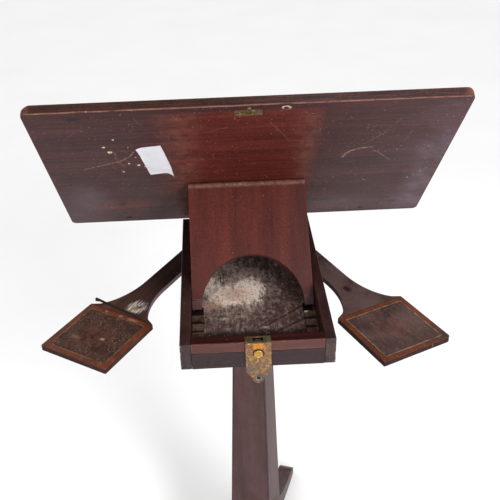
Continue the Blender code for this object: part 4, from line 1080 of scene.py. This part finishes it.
def loose_sliver():
    """A strip that has sprung off along the left paddle's inner banding and sticks out past the neck."""
    start, end = SLIVER_ENDS
    way = (end - start).normalized()
    side = Vector((-way.y, way.x, 0.0))
    shape = bmesh.new()
    rings = []
    for i in range(SLIVER_STEPS + 1):
        t = i / SLIVER_STEPS
        droop = SLIVER_DROOP * max(0.0, 1 - t / 0.09)
        middle = start.lerp(end, t) + side * SLIVER_BOW * math.sin(math.pi * t)
        taper = 0.30 + 0.70 * (1 - t)
        ring = []
        for a, b in ((-1, 0), (1, 0), (0.6, 1), (-0.6, 1)):
            level = SLIVER_CLEARANCE + (SLIVER_HEIGHT * taper if b else -droop)
            place = middle + side * (a * SLIVER_WIDTH * taper / 2) + Vector((0, 0, level))
            ring.append(shape.verts.new(LEFT_ARM @ place))
        rings.append(ring)
    for first, second in zip(rings, rings[1:]):
        for k in range(4):
            shape.faces.new((first[k], first[(k + 1) % 4], second[(k + 1) % 4], second[k]))
    shape.faces.new(rings[0])
    shape.faces.new(rings[-1])
    bmesh.ops.recalc_face_normals(shape, faces=shape.faces)
    add_piece("loose_veneer_sliver", shape, "left_candle_arm", sliver_material())


def turned_shape(profile, place, steps=48):
    """A turned solid from (radius, height) pairs that run from axis to axis."""
    shape = bmesh.new()
    rings = []
    for radius, height in profile:
        if radius == 0.0:
            rings.append([shape.verts.new(place @ Vector((0, 0, height)))])
            continue
        ring = []
        for i in range(steps):
            angle = 2 * math.pi * i / steps
            point = Vector((radius * math.cos(angle), radius * math.sin(angle), height))
            ring.append(shape.verts.new(place @ point))
        rings.append(ring)
    for upper, lower in zip(rings, rings[1:]):
        for i in range(steps):
            j = (i + 1) % steps
            corners = [ring[k % len(ring)] for ring, k in ((upper, i), (lower, i), (lower, j), (upper, j))]
            shape.faces.new(list(dict.fromkeys(corners)))
    bmesh.ops.recalc_face_normals(shape, faces=shape.faces)
    return shape


def catch_button(material):
    """The button: a turned brass knob with a rolled rim and a slightly hollow face."""
    low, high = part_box("catch_button")
    radius = (high.x - low.x) / 2
    proud = high.y - low.y
    centre = Vector(((low.x + high.x) / 2, high.y, (low.z + high.z) / 2))
    place = Matrix.Translation(centre) @ Matrix.Rotation(math.radians(90), 4, "X")
    crown, roll = 0.0004, 0.0022
    profile = [(0.0, proud - crown)]
    for i in range(1, 6):
        share = i / 6
        profile.append(((radius - roll) * share, proud - crown * (1 - share * share)))
    for i in range(7):
        angle = math.radians(90 - 15 * i)
        profile.append((radius - roll + roll * math.cos(angle), proud - roll + roll * math.sin(angle)))
    profile += [(radius, 0.0), (0.0, 0.0)]
    piece = add_piece("catch_button_turned", turned_shape(profile, place), "catch", material)
    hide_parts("catch_button")


def slotted_screw(node, group, way, material):
    """A screw with a slot across its head, which faces along the given way."""
    low, high = local_box(node, group)
    shape = bmesh.new()
    shape.from_mesh(NODES[node].data)
    bmesh.ops.remove_doubles(shape, verts=shape.verts, dist=WELD)
    piece = add_piece(node + "_slotted", shape, NODES[node]["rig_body"], material)
    axis = max(range(3), key=lambda i: abs(way[i]))
    across = [i for i in range(3) if i != axis]
    head = max(high[i] - low[i] for i in across)
    centre = (low + high) / 2
    centre[axis] = high[axis] if way[axis] > 0 else low[axis]
    size = Vector((0, 0, 0))
    size[axis] = SLOT_DEPTH * head
    size[across[0]] = SLOT_LENGTH * head
    size[across[1]] = SLOT_WIDTH * head
    cutter_shape = bmesh.new()
    turn = Matrix.Translation(centre) @ Matrix.Rotation(math.radians(8 * len(node)), 4, way)
    bmesh.ops.create_cube(cutter_shape, size=1.0, matrix=group @ turn @ Matrix.Diagonal((*size, 1.0)))
    mesh = bpy.data.meshes.new("slot")
    cutter_shape.to_mesh(mesh)
    cutter_shape.free()
    cutter = bpy.data.objects.new("slot", mesh)
    bpy.context.scene.collection.objects.link(cutter)
    groove = piece.modifiers.new("slot", "BOOLEAN")
    groove.object = cutter
    groove.solver = "EXACT"
    piece.modifiers.move(len(piece.modifiers) - 1, 0)
    graph = bpy.context.evaluated_depsgraph_get()
    cut = bpy.data.meshes.new_from_object(piece.evaluated_get(graph))
    piece.modifiers.clear()
    piece.data = cut
    bpy.data.objects.remove(cutter, do_unlink=True)
    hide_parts(node)


def paddle_corners(side, group):
    """How far each corner of a paddle is knocked back, as (x, y, radius)."""
    low, high = local_box(side + "_arm_banding", group)
    knocked = {"left": (0.0020, 0.0030, 0.0016, 0.0014), "right": (0.0016, 0.0016, 0.0014, 0.0052)}[side]
    places = ((low.x, high.y), (high.x, high.y), (low.x, low.y), (high.x, low.y))
    return [(x, y, radius) for (x, y), radius in zip(places, knocked)]


def dress():
    """Gives every solid its finish, and puts worn pieces in place of the plain ones."""
    steel = steel_material("dark_steel", 1.0)
    brass = brass_material("tarnished_brass", TRAY, 0.55)
    olive = brass_material("keeper_brass", TOP, 0.75, (128, 112, 70))
    low, high = local_box("table_top", TOP)
    worn_piece("table_top", TOP, top_material(), 0.0, 0.0, (0.006, 0.006, 0.0024),
               knocked=((low.x, low.y, 0.0046), (high.x, low.y, 0.0018)))
    worn_piece("prop_board", PROP, prop_material(), 0.0007, 0.0008)
    inner_wall = (0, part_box("right_side")[0].x)
    for side, sign in (("left_side", -1), ("right_side", 1)):
        worn_piece(side, TRAY, side_material(side, sign), 0.0004, 0.0009, flush=inner_wall)
    worn_piece("lock_rail", TRAY, lock_rail_material(), 0.0005, 0.0006, flush=inner_wall)
    lipping = board_material("lipping_wood", "lock_rail_lipping", TRAY, 0, LIPPING_WOOD, 0.3, 0.5, shift=26.0)
    worn_piece("lock_rail_lipping", TRAY, lipping, 0.0004, 0.0005)
    hinge_wood = board_material("hinge_rail_wood", "hinge_rail", TRAY, 0, TRAY_WOOD, 0.4, shift=28.0)
    worn_piece("hinge_rail", TRAY, hinge_wood, 0.0005, 0.0006)
    paint_node("tray_floor", floor_material())
    for node in ("left_ratchet", "right_ratchet"):
        worn_piece(node, TRAY, ratchet_material(node), 0.0004, 0.0011, 0.006)
    bearer = board_material("bearer_wood", "bearer", TRAY, 0, MAHOGANY, 0.0, shift=30.0)
    worn_piece("bearer", TRAY, bearer, 0.0004, 0.0006)
    block = board_material("catch_block_wood", "catch_block", TRAY, 0, LOCK_WOOD, 0.2, shift=32.0)
    worn_piece("catch_block", TRAY, block, 0.0005, 0.0004, 0.008)
    left_scuffs = (((0.012, 0.201), (0.019, 0.020), (236, 226, 218), True),
                   ((0.012, 0.203), (0.0100, 0.0085), (148, 118, 88), False),
                   ((0.016, 0.197), (0.0060, 0.0060), (64, 50, 42), False))
    right_scuffs = (((-0.003, 0.166), (0.009, 0.014), (52, 27, 27), False),
                    ((0.012, 0.110), (0.012, 0.040), (112, 90, 86), True))
    for side, group, haze, scuffs in (("left", LEFT_ARM, 0.15, left_scuffs),
                                      ("right", RIGHT_ARM, 0.8, right_scuffs)):
        core = arm_material(side, group, haze, scuffs)
        corners = paddle_corners(side, group)
        worn_piece(side + "_arm", group, core, 0.0008, 0.0007, corners=corners)
        worn_piece(side + "_arm_banding", group, banding_material(side, group), 0.0002, 0.0003,
                   corners=corners)
        paint_node(side + "_arm_stringing", stringing_material(side, group))
        film, specks = (0.12, 62000.0) if side == "left" else (0.62, 9000.0)
        paint_node(side + "_arm_panel", panel_material(side, group, film, specks))
        paint_node(side + "_arm_collar", brass)
        slotted_screw(side + "_arm_pivot", TRAY, (0, 0, -1), steel)
    column = column_material()
    worn_piece("column", BASE, column, 0.0, 0.0, 0.05)
    for index, leg in enumerate(("leg_near", "leg_far", "leg_left", "leg_right")):
        axis = 1 if index < 2 else 0
        wood = board_material(leg + "_wood", leg, BASE, axis, COLUMN_WOOD, 0.15, 0.3, 0.38, 34.0 + index)
        worn_piece(leg, BASE, wood, 0.0011, 0.0009)
    rest_wood = board_material("book_rest_wood", "book_rest", TOP, 0, MAHOGANY, 0.1, 0.6, 0.36, 40.0)
    worn_piece("book_rest", TOP, rest_wood, 0.0006, 0.0006)
    worn_piece("catch_plate", TRAY, catch_material(), 0.0003, 0.0003, 0.005)
    catch_button(button_material())
    paint_node("keeper_plate", olive)
    for node in NODES:
        if node.endswith(("_rail_leaf", "_top_leaf", "_bracket")):
            paint_node(node, brass)
        elif node.endswith(("_pin", "_spring", "_latch")):
            paint_node(node, steel)
    for side in ("left", "right"):
        slotted_screw(f"keeper_{side}_screw", TOP, (0, 0, -1), steel)
        slotted_screw(f"prop_{side}_bracket_screw", TOP, (0, 0, -1), steel)
        slotted_screw(f"bearer_{side}_screw", TRAY, (0, 0, -1), steel)
        for end in "ab":
            slotted_screw(f"{side}_hinge_rail_screw_{end}", TRAY, (0, 0, 1), steel)
            slotted_screw(f"{side}_hinge_top_screw_{end}", TOP, (0, 0, -1), steel)
    # The screw at the catch's tip is made nearly black, as painted shade in its hole
    slotted_screw("catch_screw", TRAY, (0, -1, 0), steel_material("shaded_steel", 0.12))
    paper_slip()
    loose_sliver()


def soft_light(name, place, aim, size, power, colour=(1.0, 1.0, 1.0)):
    data = bpy.data.lights.new(name, "AREA")
    data.shape = "DISK"
    data.size = size
    data.energy = power
    data.color = colour
    light = bpy.data.objects.new(name, data)
    light.location = place
    light.rotation_euler = (Vector(aim) - Vector(place)).to_track_quat("-Z", "Y").to_euler()
    bpy.context.scene.collection.objects.link(light)


def studio():
    """A pale floor, an even white surround and two soft lights."""
    shape = bmesh.new()
    bmesh.ops.create_grid(shape, x_segments=4, y_segments=4, size=15.0)
    mesh = bpy.data.meshes.new("floor")
    shape.to_mesh(mesh)
    shape.free()
    pale = Surface("pale_floor")
    pale.colour = pale.ramp(pale.noise(3.0), ((249, 249, 249), (252, 252, 252)), 0.3, 0.7)
    mesh.materials.append(pale.finish(0.9))
    floor = bpy.data.objects.new("floor", mesh)
    bpy.context.scene.collection.objects.link(floor)
    world = bpy.data.worlds.new("studio")
    world.use_nodes = True
    background = world.node_tree.nodes["Background"]
    background.inputs["Color"].default_value = (1.0, 1.0, 1.0, 1.0)
    background.inputs["Strength"].default_value = 0.92
    bpy.context.scene.world = world
    soft_light("key", (1.1, -1.9, 2.0), (0, 0, 0.75), 0.7, 26.0)
    soft_light("front", (0.9, -2.1, 0.9), (0, 0, 0.85), 0.8, 34.0)
    bpy.context.scene.view_settings.view_transform = "Standard"


def camera():
    data = bpy.data.cameras.new("camera")
    data.sensor_width = SENSOR_WIDTH
    data.lens = FOCAL_PIXELS * SENSOR_WIDTH / FRAME_PIXELS
    data.shift_x = 0.5 - CENTRE_PIXEL[0] / FRAME_PIXELS
    data.shift_y = CENTRE_PIXEL[1] / FRAME_PIXELS - 0.5
    made = bpy.data.objects.new("camera", data)
    made.location = CAMERA_PLACE
    made.rotation_euler = [math.radians(angle) for angle in CAMERA_TURN]
    bpy.context.scene.collection.objects.link(made)
    bpy.context.scene.camera = made


dress()
studio()
camera()
